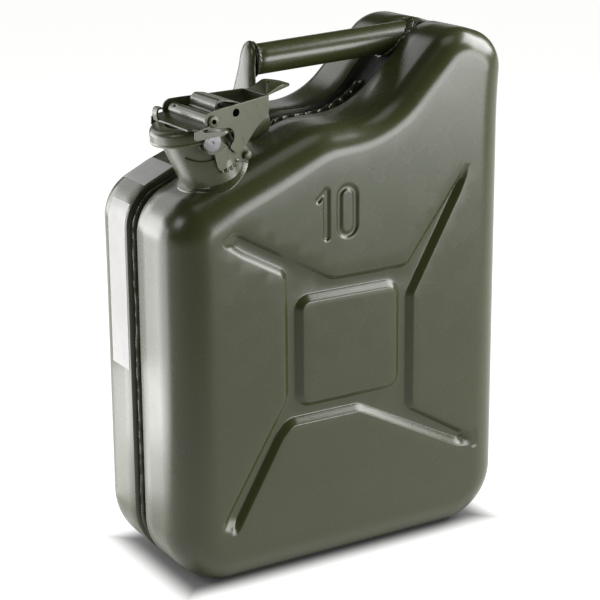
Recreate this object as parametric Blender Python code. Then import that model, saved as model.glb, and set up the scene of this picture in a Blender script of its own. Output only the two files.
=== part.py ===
# Ten litre pressed steel jerry can, upright, spout to -X and carrying handle across the top.
# Units are metres in the scene; sizes below are millimetres, turned to metres by MM.
# Frame: X along the width, Y through the depth, Z up. Origin under the middle of the base.
# The closure sits beside the weld seam, on the half that faces -Y.

import math

import bmesh
import bpy
from mathutils import Matrix, Vector
from mathutils.geometry import delaunay_2d_cdt, tessellate_polygon

MM = 0.001
GAP = 0.3                      # clearance between touching pieces

# Body
HALF_DEPTH = 65.0
SHEET = 1.0                    # wall of the pressed halves
EDGE_ROUND = 29.0              # rounding between the sides and the broad faces
TOP_ROUND = 18.0               # the same along the saddle and the hump
BASE_CORNER = 44.0
# Outline corners: x, z, fillet radius, fillet segments, edge rounding of the next side.
# Counter-clockwise seen from -Y, starting at the lower right.
OUTLINE = (
    (136.0, 0.0, BASE_CORNER, 10, EDGE_ROUND),
    (136.0, 365.4, 30.0, 8, TOP_ROUND),
    (89.5, 380.0, 31.0, 7, TOP_ROUND),
    (28.0, 318.5, 62.0, 7, TOP_ROUND),
    (-21.0, 317.6, 60.0, 4, 24.0),
    (-98.0, 288.0, 45.0, 3, 26.0),
    (-136.0, 270.0, 34.0, 8, EDGE_ROUND),
    (-136.0, 0.0, BASE_CORNER, 10, EDGE_ROUND),
)
MAX_STEP = 34.0                # longest straight piece of the outline

# Seam
CHANNEL_DEPTH = 3.4
GROOVE = ((-60.0, 8.0), (-40.0, 12.0), (38.0, 12.0), (54.0, 16.0), (92.0, 16.0), (112.0, 8.0))
BEAD_HALF = 2.5
BEAD_HEIGHT = 1.7

# Pressed pattern of the broad faces
PRESS_DEPTH = 4.2
PRESS_SLOPE = 3.2
SQUARE = (-43.5, 39.5, 125.0, 206.0, 9.0)
CROSS = (
    (-93.0, 257.5, 3.0),
    (-17.0, 214.0, 16.0),
    (48.0, 212.4, 9.0),
    (98.9, 282.1, 0.4),
    (50.0, 192.5, 10.0),
    (51.0, 106.7, 8.0),
    (108.0, 68.3, 0.4),
    (6.0, 115.5, 12.0),
    (-49.0, 115.5, 8.0),
    (-106.5, 40.5, 0.4),
    (-52.5, 132.5, 9.0),
    (-52.0, 221.0, 8.0),
    (-102.5, 253.5, 3.0),
)

# Handle
TUBE_R = 10.75
TUBE_FRONT = (-41.5, 358.1)
TUBE_SLOPE = math.radians(3.0)
POST_LEAN = math.radians(7.5)
POST_HALF = 12.2
POST_FOOT_HALF = 17.0
POST_DEEPEN = 12.0             # how much further back the rim reaches at the foot

# Closure: everything is placed about the plane y = SPOUT_Y
SPOUT_Y = -31.0
NECK_BASE = (-89.2, 291.8)
NECK_BASE_TILT = math.radians(21.0)
CAP_BASE = (-104.6, 320.9)     # middle of the cap's lower rim
CAP_TILT = math.radians(11.5)
NECK_R = 22.6
NECK_WALL = 1.2
CAP_R = 28.0
CAP_TOP = 5.9                  # height of the cap's flat top above its rim
PIVOT = (-104.0, 332.0)        # lever axis, along Y
PIVOT_R = 2.5
HINGE = (-73.4, 304.5)         # cap axis, along Y
HINGE_R = 2.0
STUD = (-104.6, 318.2)         # side studs of the neck's ears
LOCK = (-83.4, 334.6)          # hole for a seal or a padlock
LEVER_SHEET = 1.4


def material(name, colour, roughness, metallic):
    """Principled material with one colour."""
    mat = bpy.data.materials.new(name)
    mat.use_nodes = True
    shader = mat.node_tree.nodes["Principled BSDF"]
    shader.inputs["Base Color"].default_value = (*colour, 1.0)
    shader.inputs["Roughness"].default_value = roughness
    shader.inputs["Metallic"].default_value = metallic
    mat.diffuse_color = (*colour, 1.0)
    return mat


def add_object(name, bm, mat, origin=(0.0, 0.0, 0.0), parent=None, smooth=35.0):
    """Object from a mesh drawn in world millimetres, with its origin at the given point."""
    bmesh.ops.remove_doubles(bm, verts=bm.verts, dist=0.0005)
    bmesh.ops.recalc_face_normals(bm, faces=bm.faces)
    bmesh.ops.translate(bm, verts=bm.verts, vec=-Vector(origin))
    bmesh.ops.scale(bm, verts=bm.verts, vec=(MM, MM, MM))
    mesh = bpy.data.meshes.new(name)
    bm.to_mesh(mesh)
    bm.free()
    mesh.shade_smooth()
    mesh.set_sharp_from_angle(angle=math.radians(smooth))
    obj = bpy.data.objects.new(name, mesh)
    bpy.context.collection.objects.link(obj)
    place = Vector(origin) * MM
    if parent is not None:
        obj.parent = parent
        place = place - parent.matrix_world.translation
    obj.location = place
    if mat is not None:
        mesh.materials.append(mat)
    return obj


def add_axis(name, origin, parent=None):
    """Empty on a joint's axis."""
    axis = bpy.data.objects.new(name, None)
    bpy.context.collection.objects.link(axis)
    place = Vector(origin) * MM
    if parent is not None:
        axis.parent = parent
        place = place - parent.matrix_world.translation
    axis.location = place
    bpy.context.view_layer.update()
    return axis


def as_cutter(obj):
    """Hide an object that only cuts others."""
    obj.hide_render = True
    obj.display_type = 'WIRE'
    return obj


def boolean(obj, other, operation):
    """Boolean modifier with the exact solver."""
    mod = obj.modifiers.new(operation.title(), 'BOOLEAN')
    mod.operation = operation
    mod.solver = 'EXACT'
    mod.object = other
    return mod


# Outlines with rounded corners

def fillet_loop(corners, inset=0.0, segments=6):
    """Points of a closed polygon (x, z, radius) with rounded corners.

    The polygon runs counter-clockwise; inset moves every side inwards and changes the
    radii to match, so loops of different inset pair up point by point.
    """
    count = len(corners)
    points = []
    lines = []
    for i in range(count):
        a = Vector(corners[i][:2])
        b = Vector(corners[(i + 1) % count][:2])
        along = (b - a).normalized()
        inward = Vector((-along.y, along.x))
        lines.append((a + inward * inset, along))
    for i in range(count):
        p0, d0 = lines[i - 1]
        p1, d1 = lines[i]
        cross = d0.x * d1.y - d0.y * d1.x
        delta = p1 - p0
        corner = p0 + d0 * ((delta.x * d1.y - delta.y * d1.x) / cross)
        radius = corners[i][2] - inset if cross > 0.0 else corners[i][2] + inset
        radius = max(radius, 0.4)
        turn = math.atan2(cross, d0.dot(d1))
        tangent = radius * math.tan(abs(turn) / 2.0)
        side = 1.0 if cross > 0.0 else -1.0
        start = corner - d0 * tangent
        centre = start + Vector((-d0.y, d0.x)) * radius * side
        spoke = start - centre
        for k in range(segments + 1):
            step = turn * k / segments
            c, s = math.cos(step), math.sin(step)
            points.append(centre + Vector((spoke.x * c - spoke.y * s, spoke.x * s + spoke.y * c)))
    return points


def groove_half(point):
    """Half width of the seam channel: wider over the saddle and where the handle seats."""
    if point.y < 300.0:
        return GROOVE[0][1]
    for (x0, half0), (x1, half1) in zip(GROOVE, GROOVE[1:]):
        if x0 <= point.x <= x1:
            return half0 + (half1 - half0) * (point.x - x0) / (x1 - x0)
    return GROOVE[0][1]


def body_outline():
    """Outline samples: point, inward normal, edge rounding and channel half width."""
    samples = []
    count = len(OUTLINE)
    ends = []
    for i in range(count):
        here = Vector(OUTLINE[i][:2])
        back = (here - Vector(OUTLINE[i - 1][:2])).normalized()
        ahead = (Vector(OUTLINE[(i + 1) % count][:2]) - here).normalized()
        cross = back.x * ahead.y - back.y * ahead.x
        turn = math.atan2(cross, back.dot(ahead))
        radius, steps = OUTLINE[i][2], OUTLINE[i][3]
        tangent = radius * math.tan(abs(turn) / 2.0)
        side = 1.0 if cross > 0.0 else -1.0
        start = here - back * tangent
        centre = start + Vector((-back.y, back.x)) * radius * side
        spoke = start - centre
        arc = []
        for k in range(steps + 1):
            t = k / steps
            c, s = math.cos(turn * t), math.sin(turn * t)
            point = centre + Vector((spoke.x * c - spoke.y * s, spoke.x * s + spoke.y * c))
            normal = (centre - point).normalized() * side
            edge = OUTLINE[i - 1][4] * (1.0 - t) + OUTLINE[i][4] * t
            arc.append((point, normal, edge, groove_half(point)))
        ends.append(arc)
    for i in range(count):
        samples.extend(ends[i])
        a, b = ends[i][-1], ends[(i + 1) % count][0]
        step = MAX_STEP if b[0].y < 290.0 else MAX_STEP / 3.0
        pieces = max(1, math.ceil((b[0] - a[0]).length / step))
        for k in range(1, pieces):
            t = k / pieces
            point = a[0].lerp(b[0], t)
            samples.append((point, a[1], a[2], groove_half(point)))
    return samples


def top_height(x, y):
    """Height of the shoulder or saddle above the ground at one spot."""
    best = None
    samples = body_outline()
    for (a, _, edge, _), (b, _, _, _) in zip(samples, samples[1:] + samples[:1]):
        low, high = min(a.x, b.x), max(a.x, b.x)
        if low <= x <= high and high - low > 1e-6:
            z = a.y + (b.y - a.y) * (x - a.x) / (b.x - a.x)
            if best is None or z > best[0]:
                best = (z, edge, (b.y - a.y) / (b.x - a.x))
    z, edge, slope = best
    over = max(0.0, abs(y) - (HALF_DEPTH - edge))
    drop = edge - math.sqrt(max(edge * edge - over * over, 0.0))
    return z - drop * math.hypot(1.0, slope)


# Mesh builders

def loft(bm, rings, close_ends=True, closed=False):
    """Skin a list of rings with equal point counts."""
    rows = [[bm.verts.new(p) for p in ring] for ring in rings]
    pairs = list(zip(rows, rows[1:] + rows[:1])) if closed else list(zip(rows, rows[1:]))
    for low, high in pairs:
        for j in range(len(low)):
            k = (j + 1) % len(low)
            bm.faces.new((low[j], low[k], high[k], high[j]))
    if close_ends and not closed:
        bm.faces.new(rows[0][::-1])
        bm.faces.new(rows[-1])
    return rows


def plate(bm, outer, holes, top, bottom):
    """Flat or bent plate: loops in (u, v), two placing functions for its two faces."""
    loops = [outer] + list(holes)
    flat = [[Vector((u, v, 0.0)) for u, v in loop] for loop in loops]
    triangles = tessellate_polygon(flat)
    points = [p for loop in loops for p in loop]
    upper = [bm.verts.new(top(u, v)) for u, v in points]
    lower = [bm.verts.new(bottom(u, v)) for u, v in points]
    for a, b, c in triangles:
        bm.faces.new((upper[a], upper[b], upper[c]))
        bm.faces.new((lower[c], lower[b], lower[a]))
    start = 0
    for loop in loops:
        count = len(loop)
        for j in range(count):
            a, b = start + j, start + (j + 1) % count
            bm.faces.new((upper[a], lower[a], lower[b], upper[b]))
        start += count


def circle(cx, cz, radius, count=20, start=0.0):
    """Points of a circle in a plane, as pairs."""
    step = 2.0 * math.pi / count
    return [(cx + radius * math.cos(start + step * k), cz + radius * math.sin(start + step * k))
            for k in range(count)]


def rod(bm, centre, radius, y0, y1, count=20):
    """Round bar along Y."""
    rings = [[Vector((x, y, z)) for x, z in circle(*centre, radius, count)] for y in (y0, y1)]
    loft(bm, rings)


def turned(bm, profile, frame, count=40, closed=True):
    """Turn a profile of (radius, height) about the Z axis of a frame."""
    rings = []
    for radius, height in profile:
        ring = []
        for k in range(count):
            a = 2.0 * math.pi * k / count
            ring.append(frame @ Vector((radius * math.cos(a), radius * math.sin(a), height)))
        rings.append(ring)
    loft(bm, rings, close_ends=not closed, closed=closed)


def tilted(centre, tilt, y=SPOUT_Y):
    """Frame at a point of the spout's plane, leaning towards -X by the tilt."""
    place = Matrix.Translation((centre[0], y, centre[1]))
    return place @ Matrix.Rotation(-tilt, 4, 'Y')


# Body shells

def shell_rings(side):
    """Closed rings of one pressed half, from the seam channel out to the broad face."""
    samples = body_outline()
    levels = []
    floor = [(GAP / 2.0, CHANNEL_DEPTH, 0.0), (-2.6, CHANNEL_DEPTH, 1.0), (-1.0, 1.0, 1.0),
             (0.0, 0.25, 1.0), (1.6, 0.0, 1.0)]
    for offset, depth, from_lip in floor:
        ring = []
        for point, normal, _, groove in samples:
            y = groove + offset if from_lip else offset
            inner = point + normal * depth
            ring.append(Vector((inner.x, side * y, inner.y)))
        levels.append(ring)
    steps = 5
    for k in range(steps + 1):
        angle = 0.5 * math.pi * k / steps
        ring = []
        for point, normal, edge, _ in samples:
            inner = point + normal * edge * (1.0 - math.cos(angle))
            ring.append(Vector((inner.x, side * (HALF_DEPTH - edge * (1.0 - math.sin(angle))),
                                inner.y)))
        levels.append(ring)
    return levels


def fill_between(bm, outer, inner, y):
    """Triangulate the flat ring between two loops of vertices at depth y."""
    verts = list(outer) + list(inner)
    coords = [Vector((v.co.x, v.co.z)) for v in verts]
    count, split = len(verts), len(outer)
    edges = [(j, (j + 1) % split) for j in range(split)]
    edges += [(split + j, split + (j + 1) % (count - split)) for j in range(count - split)]
    _, _, faces, _, _, _ = delaunay_2d_cdt(coords, edges, [], 0, 1e-4)
    hole = [Vector((v.co.x, v.co.z)) for v in inner]
    rim = [Vector((v.co.x, v.co.z)) for v in outer]
    for face in faces:
        middle = sum((coords[j] for j in face), Vector((0.0, 0.0))) / len(face)
        if inside(middle, rim) and not inside(middle, hole):
            bm.faces.new([verts[j] for j in face])


def inside(point, loop):
    """Whether a point lies within a closed loop."""
    result = False
    for a, b in zip(loop, loop[1:] + loop[:1]):
        if (a.y > point.y) != (b.y > point.y):
            if point.x < a.x + (b.x - a.x) * (point.y - a.y) / (b.y - a.y):
                result = not result
    return result


def shell_mesh(side):
    """One pressed half as an open skin: channel, sides, rounding and patterned broad face."""
    bm = bmesh.new()
    rows = loft(bm, shell_rings(side), close_ends=False)
    face_y = side * HALF_DEPTH
    deep_y = side * (HALF_DEPTH - PRESS_DEPTH)

    def loop_at(points, y):
        return [bm.verts.new((p.x, y, p.y)) for p in points]

    def bridge(low, high):
        for j in range(len(low)):
            k = (j + 1) % len(low)
            bm.faces.new((low[j], low[k], high[k], high[j]))

    ccw = list(reversed(CROSS))
    cross_top = loop_at(fillet_loop(ccw, 0.0, 3), face_y)
    cross_low = loop_at(fillet_loop(ccw, PRESS_SLOPE, 3), deep_y)
    x0, x1, z0, z1, radius = SQUARE
    square = ((x0, z0, radius), (x1, z0, radius), (x1, z1, radius), (x0, z1, radius))
    square_low = loop_at(fillet_loop(square, -PRESS_SLOPE + 0.6, 4), deep_y)
    square_top = loop_at(fillet_loop(square, 0.6, 4), face_y)
    fill_between(bm, rows[-1], cross_top, face_y)
    bridge(cross_top, cross_low)
    fill_between(bm, cross_low, square_low, deep_y)
    bridge(square_low, square_top)
    bm.faces.new(square_top)
    return bm


def make_shell(name, side, mat):
    """Pressed half with its wall thickness added inwards."""
    obj = add_object(name, shell_mesh(side), mat, smooth=40.0)
    wall = obj.modifiers.new("Wall", 'SOLIDIFY')
    wall.thickness = SHEET * MM
    wall.offset = -1.0
    wall.use_even_offset = True
    wall.thickness_clamp = 0.0
    return obj


# Seam

def outline_path(start, stop, inset):
    """Points and inward normals along the outline from one sample to another."""
    samples = body_outline()
    count = len(samples)
    path = []
    j = start
    while True:
        point, normal, _, _ = samples[j % count]
        path.append((point + normal * inset, normal))
        if j % count == stop % count:
            break
        j += 1
    return path


def nearest_sample(x, z):
    """Index of the outline sample nearest to a point."""
    samples = body_outline()
    target = Vector((x, z))
    return min(range(len(samples)), key=lambda j: (samples[j][0] - target).length)


def bead_mesh(start, stop, first=None, last=None):
    """Weld bead swept along the seam channel's floor: flat below and round above."""
    path = outline_path(start, stop, CHANNEL_DEPTH - GAP)
    if first is not None:
        path[0] = (Vector(first[0]), path[0][1])
    if last is not None:
        path[-1] = (Vector(last[0]), path[-1][1])
    rings = []
    for point, normal in path:
        ring = [Vector((point.x, -BEAD_HALF, point.y)), Vector((point.x, BEAD_HALF, point.y))]
        for k in range(1, 5):
            a = math.pi * k / 5
            out = point - normal * BEAD_HEIGHT * math.sin(a)
            ring.append(Vector((out.x, BEAD_HALF * math.cos(a), out.y)))
        rings.append(ring)
    bm = bmesh.new()
    loft(bm, rings)
    return bm


# Handle

def tube_axis(x):
    """Height of the handle tube's axis."""
    return TUBE_FRONT[1] + (x - TUBE_FRONT[0]) * math.tan(TUBE_SLOPE)


def hump_plane(extra):
    """Point and normal of the hump's front slope, moved inwards by the extra depth."""
    a, b = Vector(OUTLINE[3][:2]), Vector(OUTLINE[2][:2])
    along = (b - a).normalized()
    inward = Vector((along.y, -along.x))
    return a + inward * extra, inward


def tube_mesh():
    """Handle tube: square front end, rear end cut along the hump's slope."""
    bm = bmesh.new()
    direction = Vector((math.cos(TUBE_SLOPE), 0.0, math.sin(TUBE_SLOPE)))
    up = Vector((-math.sin(TUBE_SLOPE), 0.0, math.cos(TUBE_SLOPE)))
    start = Vector((TUBE_FRONT[0], 0.0, TUBE_FRONT[1]))
    plane, normal = hump_plane(CHANNEL_DEPTH - GAP)
    plane_point = Vector((plane.x, 0.0, plane.y))
    plane_normal = Vector((normal.x, 0.0, normal.y))
    stations = [[], [], [], []]
    for k in range(28):
        a = 2.0 * math.pi * k / 28
        spoke = Vector((0.0, math.cos(a), 0.0)) + up * math.sin(a)
        rim = start + spoke * TUBE_R
        reach = (plane_point - rim).dot(plane_normal) / direction.dot(plane_normal)
        stations[0].append(start + spoke * (TUBE_R - 1.0))
        stations[1].append(rim + direction * 1.0)
        stations[2].append(rim + direction * (reach * 0.5))
        stations[3].append(rim + direction * reach)
    loft(bm, stations)
    return bm


def post_mesh():
    """Front bracket of the handle: plate over the tube's end, deep turned rim, slanted foot."""
    bm = bmesh.new()
    axis_z = tube_axis(TUBE_FRONT[0])
    lean = math.tan(POST_LEAN)

    def place(y, z, depth, deepen):
        low = min(max((344.0 - z) / 28.0, 0.0), 1.0)
        x = TUBE_FRONT[0] - GAP + depth + (z - axis_z) * lean
        return Vector((x + deepen * low * low * (3.0 - 2.0 * low), y, z))

    def ring(grow, depth, deepen=0.0):
        """Loop of the bracket's outline, grown and set at a depth; its foot meets the shoulder."""
        half = POST_HALF + grow
        loop = []
        for k in range(13):
            a = math.pi * k / 12
            loop.append(place(half * math.cos(a), axis_z + half * math.sin(a), depth, deepen))
        wide = POST_FOOT_HALF + grow
        for y, z in ((half + 2.0, 347.0), (wide - 1.3, 338.0), (wide, 328.0)):
            loop.append(place(-y, z, depth, deepen))
        foot = place(-wide, 312.0, depth, deepen)
        for _ in range(6):
            foot = place(-wide, top_height(foot.x, wide) + 0.6 - grow, depth, deepen)
        loop.append(foot)
        for point in loop[:12:-1]:
            loop.append(Vector((point.x, -point.y, point.z)))
        return loop

    loft(bm, [ring(-2.0, -5.2), ring(-1.6, -1.0, POST_DEEPEN), ring(0.0, -1.0, POST_DEEPEN),
              ring(-0.2, -5.6), ring(-1.6, -7.0), ring(-5.0, -7.4)])
    return bm


def weld_ring_rear():
    """Weld around the tube where it meets the hump."""
    bm = bmesh.new()
    direction = Vector((math.cos(TUBE_SLOPE), 0.0, math.sin(TUBE_SLOPE)))
    up = Vector((-math.sin(TUBE_SLOPE), 0.0, math.cos(TUBE_SLOPE)))
    start = Vector((TUBE_FRONT[0], 0.0, TUBE_FRONT[1]))
    plane, normal = hump_plane(CHANNEL_DEPTH - GAP)
    plane_point = Vector((plane.x, 0.0, plane.y))
    plane_normal = Vector((normal.x, 0.0, normal.y))
    rings = []
    for k in range(28):
        a = 2.0 * math.pi * k / 28
        spoke = Vector((0.0, math.cos(a), 0.0)) + up * math.sin(a)
        ring = []
        for radial, along in ((0.3, 0.0), (2.2, 0.0), (1.9, -1.6), (0.3, -3.0)):
            rim = start + spoke * (TUBE_R + radial)
            reach = (plane_point - rim).dot(plane_normal) / direction.dot(plane_normal)
            ring.append(rim + direction * (reach + along))
        rings.append(ring)
    loft(bm, rings, closed=True)
    return bm


def weld_ring_front():
    """Weld around the tube just behind the front bracket."""
    bm = bmesh.new()
    direction = Vector((math.cos(TUBE_SLOPE), 0.0, math.sin(TUBE_SLOPE)))
    up = Vector((-math.sin(TUBE_SLOPE), 0.0, math.cos(TUBE_SLOPE)))
    start = Vector((TUBE_FRONT[0], 0.0, TUBE_FRONT[1]))
    rings = []
    for k in range(28):
        a = 2.0 * math.pi * k / 28
        spoke = Vector((0.0, math.cos(a), 0.0)) + up * math.sin(a)
        lean = TUBE_R * math.sin(a) * math.tan(POST_LEAN)
        ring = []
        for radial, along in ((0.3, 0.0), (1.3, 0.0), (1.1, 1.6), (0.3, 2.8)):
            ring.append(start + spoke * (TUBE_R + radial) + direction * (lean + along + 0.6))
        rings.append(ring)
    loft(bm, rings, closed=True)
    return bm


# Neck

def neck_frame(t):
    """Frame of a neck section, from the shoulder (t = 0) to the cap's rim (t = 1)."""
    x = NECK_BASE[0] + (CAP_BASE[0] - NECK_BASE[0]) * t
    z = NECK_BASE[1] + (CAP_BASE[1] - NECK_BASE[1]) * t
    tilt = NECK_BASE_TILT + (CAP_TILT - NECK_BASE_TILT) * min(max(t, 0.0), 1.0)
    return tilted((x, z), tilt)


def neck_ring(t, radius, lift=0.0, count=40):
    """Circle of a neck section."""
    frame = neck_frame(t)
    ring = []
    for k in range(count):
        a = 2.0 * math.pi * k / count
        ring.append(frame @ Vector((radius * math.cos(a), radius * math.sin(a), lift)))
    return ring


def neck_mesh():
    """Leaning tube from inside the shoulder to a rolled lip under the cap."""
    bm = bmesh.new()
    inner = NECK_R - NECK_WALL
    rings = [neck_ring(-0.13, NECK_R), neck_ring(0.35, NECK_R), neck_ring(0.7, NECK_R),
             neck_ring(0.93, NECK_R), neck_ring(1.0, NECK_R + 0.8, -0.9),
             neck_ring(1.0, NECK_R + 0.8, 0.8), neck_ring(1.0, NECK_R, 1.7),
             neck_ring(1.0, inner, 1.3), neck_ring(1.0, inner - 0.2), neck_ring(0.7, inner),
             neck_ring(0.35, inner), neck_ring(-0.13, inner)]
    loft(bm, rings, closed=True)
    return bm


def neck_cutter_mesh():
    """Leaning bar that opens the shoulder for the neck."""
    bm = bmesh.new()
    loft(bm, [neck_ring(-0.45, NECK_R + GAP), neck_ring(0.0, NECK_R + GAP),
              neck_ring(0.45, NECK_R + GAP)])
    return bm


def neck_weld_mesh():
    """Fillet weld that follows the shoulder round the neck."""
    bm = bmesh.new()
    rings = []
    count = 40
    for k in range(count):
        a = 2.0 * math.pi * k / count
        ring = []
        for radius, lift in ((NECK_R + GAP, 0.9), (NECK_R + 3.0, 0.9), (NECK_R + 2.4, 2.0),
                             (NECK_R + GAP, 3.0)):
            spoke = Vector((radius * math.cos(a), radius * math.sin(a), 0.0))
            point = neck_frame(0.0) @ spoke
            height = top_height(point.x, point.y) + lift
            if radius < NECK_R + 1.0:
                t = (height - point.z) / (CAP_BASE[1] - NECK_BASE[1])
                point = neck_frame(t) @ spoke
            ring.append(Vector((point.x, point.y, height)))
        rings.append(ring)
    loft(bm, rings, closed=True)
    return bm


# Closure

def cap_frame():
    """Frame on the middle of the cap's lower rim, Z along its axis."""
    return tilted(CAP_BASE, CAP_TILT)


def cap_point(height, x):
    """Point of the spout's plane at a height above the cap's rim and an X position."""
    base = Vector((CAP_BASE[0], CAP_BASE[1]))
    along = Vector((math.cos(CAP_TILT), math.sin(CAP_TILT)))
    axis = Vector((-math.sin(CAP_TILT), math.cos(CAP_TILT)))
    start = base + axis * height
    return start + along * ((x - start.x) / along.x)


def cap_mesh():
    """Pressed cap: rounded top, straight skirt with a curled rim, hollow below."""
    bm = bmesh.new()
    top = CAP_TOP
    profile = [(0.0, top), (CAP_R - 6.0, top), (CAP_R - 2.2, top - 0.9), (CAP_R - 0.6, top - 3.0),
               (CAP_R - 0.2, 2.0), (CAP_R, 0.5), (CAP_R - 0.6, 0.0), (CAP_R - 2.0, 0.2),
               (CAP_R - 2.0, top - 3.6), (CAP_R - 3.6, top - 1.8), (0.0, top - 1.8)]
    frame = cap_frame()
    count = 40
    rings = []
    for radius, height in profile[1:-1]:
        rings.append([frame @ Vector((radius * math.cos(2 * math.pi * k / count),
                                      radius * math.sin(2 * math.pi * k / count), height))
                      for k in range(count)])
    loft(bm, rings)
    return bm


def gasket_mesh():
    """Flat rubber ring between the cap and the neck's lip."""
    bm = bmesh.new()
    top = CAP_TOP - 1.8 - GAP
    turned(bm, [(18.5, top - 1.6), (24.0, top - 1.6), (24.0, top), (18.5, top)], cap_frame())
    return bm


def retainer_mesh():
    """Dished plate that holds the gasket inside the cap."""
    bm = bmesh.new()
    frame = cap_frame()
    rings = []
    top = CAP_TOP - 1.8 - GAP
    for radius, height in ((18.0, top), (18.0, top - 1.8), (16.4, top - 2.6), (4.0, top - 1.2)):
        rings.append([frame @ Vector((radius * math.cos(2 * math.pi * k / 32),
                                      radius * math.sin(2 * math.pi * k / 32), height))
                      for k in range(32)])
    loft(bm, rings)
    return bm


def ribbon(bm, path, thickness, y0, y1):
    """Bent sheet: a path in the spout's plane thickened to both sides, between two depths."""
    left, right = [], []
    for j, here in enumerate(path):
        before = Vector(path[max(j - 1, 0)])
        after = Vector(path[min(j + 1, len(path) - 1)])
        here = Vector(here)
        arms = [(here - before), (after - here)]
        arms = [a.normalized() for a in arms if a.length > 1e-6]
        along = sum(arms, Vector((0.0, 0.0))).normalized()
        across = Vector((-along.y, along.x))
        reach = 0.5 * thickness / max(across.dot(Vector((-arms[0].y, arms[0].x))), 0.5)
        left.append(here + across * reach)
        right.append(here - across * reach)
    outline = [(p.x, p.y) for p in left + right[::-1]]
    plate(bm, outline, [], lambda x, z: Vector((x, y0, z)), lambda x, z: Vector((x, y1, z)))


def bracket_objects(mat, axis):
    """Cap bracket: front flap, rolled sleeve, ribs, locking arch, side strips and hinge arms."""
    c = SPOUT_Y
    pieces = []
    foot = CAP_TOP + GAP + 0.7

    def piece(bm, label):
        obj = add_object("bracket_" + label, bm, None, (PIVOT[0], c, PIVOT[1]), axis)
        pieces.append(obj)
        return obj

    def join(bm, label):
        boolean(base, as_cutter(piece(bm, label)), 'UNION')

    def on_flap(lift):
        return lambda x, y: Vector((x, y, 327.3 + 0.205 * (x + 119.7) + lift))

    bm = bmesh.new()
    flap = [(-119.7, c - 24.0), (-118.9, c - 32.2), (-112.6, c - 32.2), (-112.4, c - 27.0),
            (-106.0, c - 26.4), (-106.0, c + 26.4), (-112.4, c + 27.0), (-112.6, c + 32.2),
            (-118.9, c + 32.2), (-119.7, c + 24.0)]
    plate(bm, flap, [], on_flap(0.0), on_flap(-1.4))
    base = piece(bm, "flap")
    bm = bmesh.new()
    rod(bm, PIVOT, 4.3, c - 26.4, c + 26.4, 24)
    join(bm, "sleeve")
    path = [tuple(cap_point(foot, -103.0)), tuple(cap_point(foot, -95.6)), (-94.4, 337.2),
            (-92.6, 339.3), (-89.6, 340.3), (-85.5, 340.4), (-79.5, 339.2), (-76.2, 336.4),
            (-74.6, 331.0), (-74.9, 322.0)]
    bm = bmesh.new()
    ribbon(bm, path, 1.4, c - 18.0, c + 18.0)
    join(bm, "arch")
    for label, x in (("rib_1", -99.3), ("rib_2", -96.6)):
        bm = bmesh.new()
        spot = cap_point(foot + 0.6, x)
        rod(bm, (spot.x, spot.y), 1.2, c - 17.8, c + 17.8, 10)
        join(bm, label)
    for side, label in ((-1.0, "near"), (1.0, "far")):
        arm = [(-75.6, 333.5), (-78.0, 328.0), (-77.4, 318.0), (-76.6, 309.0)]
        for k in range(9):
            a = math.radians(165.0 + 210.0 * k / 8)
            arm.append((HINGE[0] + 3.3 * math.cos(a), HINGE[1] + 3.3 * math.sin(a)))
        arm += [(-72.4, 312.0), (-73.6, 331.0)]
        y0, y1 = c + side * 15.2, c + side * 16.4
        bm = bmesh.new()
        plate(bm, arm, [], lambda x, z: Vector((x, y0, z)), lambda x, z: Vector((x, y1, z)))
        join(bm, "arm_" + label)
        strip = [(-118.4, 327.1), (-118.8, 321.3), (-116.0, 320.9), (-91.9, 323.1),
                 (-93.2, 324.9), (-112.0, 326.0), (-112.9, 328.6)]
        y2, y3 = c + side * 31.0, c + side * 32.2
        bm = bmesh.new()
        plate(bm, strip, [], lambda x, z: Vector((x, y2, z)), lambda x, z: Vector((x, y3, z)))
        join(bm, "strip_" + label)
    for label, centre, radius in (("pivot_hole", PIVOT, PIVOT_R + GAP),
                                  ("hinge_hole", HINGE, HINGE_R + GAP)):
        bm = bmesh.new()
        rod(bm, centre, radius, c - 40.0, c + 40.0, 20)
        boolean(base, as_cutter(piece(bm, label)), 'DIFFERENCE')
    base.name = "cap_bracket"
    base.data.materials.append(mat)
    return base


def cheek_half(x):
    """Half width of the lever at an X position, over its outer faces."""
    return 30.0 - (x + 108.0) * 0.26


def cheek_outline():
    """Side view of a lever cheek: eye, straight top, rear edge, lobe and hook notch."""
    points = []
    for k in range(9):
        a = math.radians(250.0 - 145.0 * k / 8)
        points.append((PIVOT[0] + 6.6 * math.cos(a), PIVOT[1] + 6.6 * math.sin(a)))
    points += [(-97.0, 339.2), (-80.0, 340.4), (-55.2, 342.4), (-53.9, 330.3), (-60.9, 325.6),
               (-68.3, 319.0), (-74.2, 312.6), (-78.6, 309.5)]
    points += [(-82.0, 307.6), (-84.5, 308.0), (-88.6, 311.8)]
    for k in range(7):
        a = math.radians(-55.0 + 155.0 * k / 6)
        points.append((-91.7 + 6.4 * math.cos(a), 319.4 + 6.4 * math.sin(a)))
    points.append((-98.0, 326.2))
    return points


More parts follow.
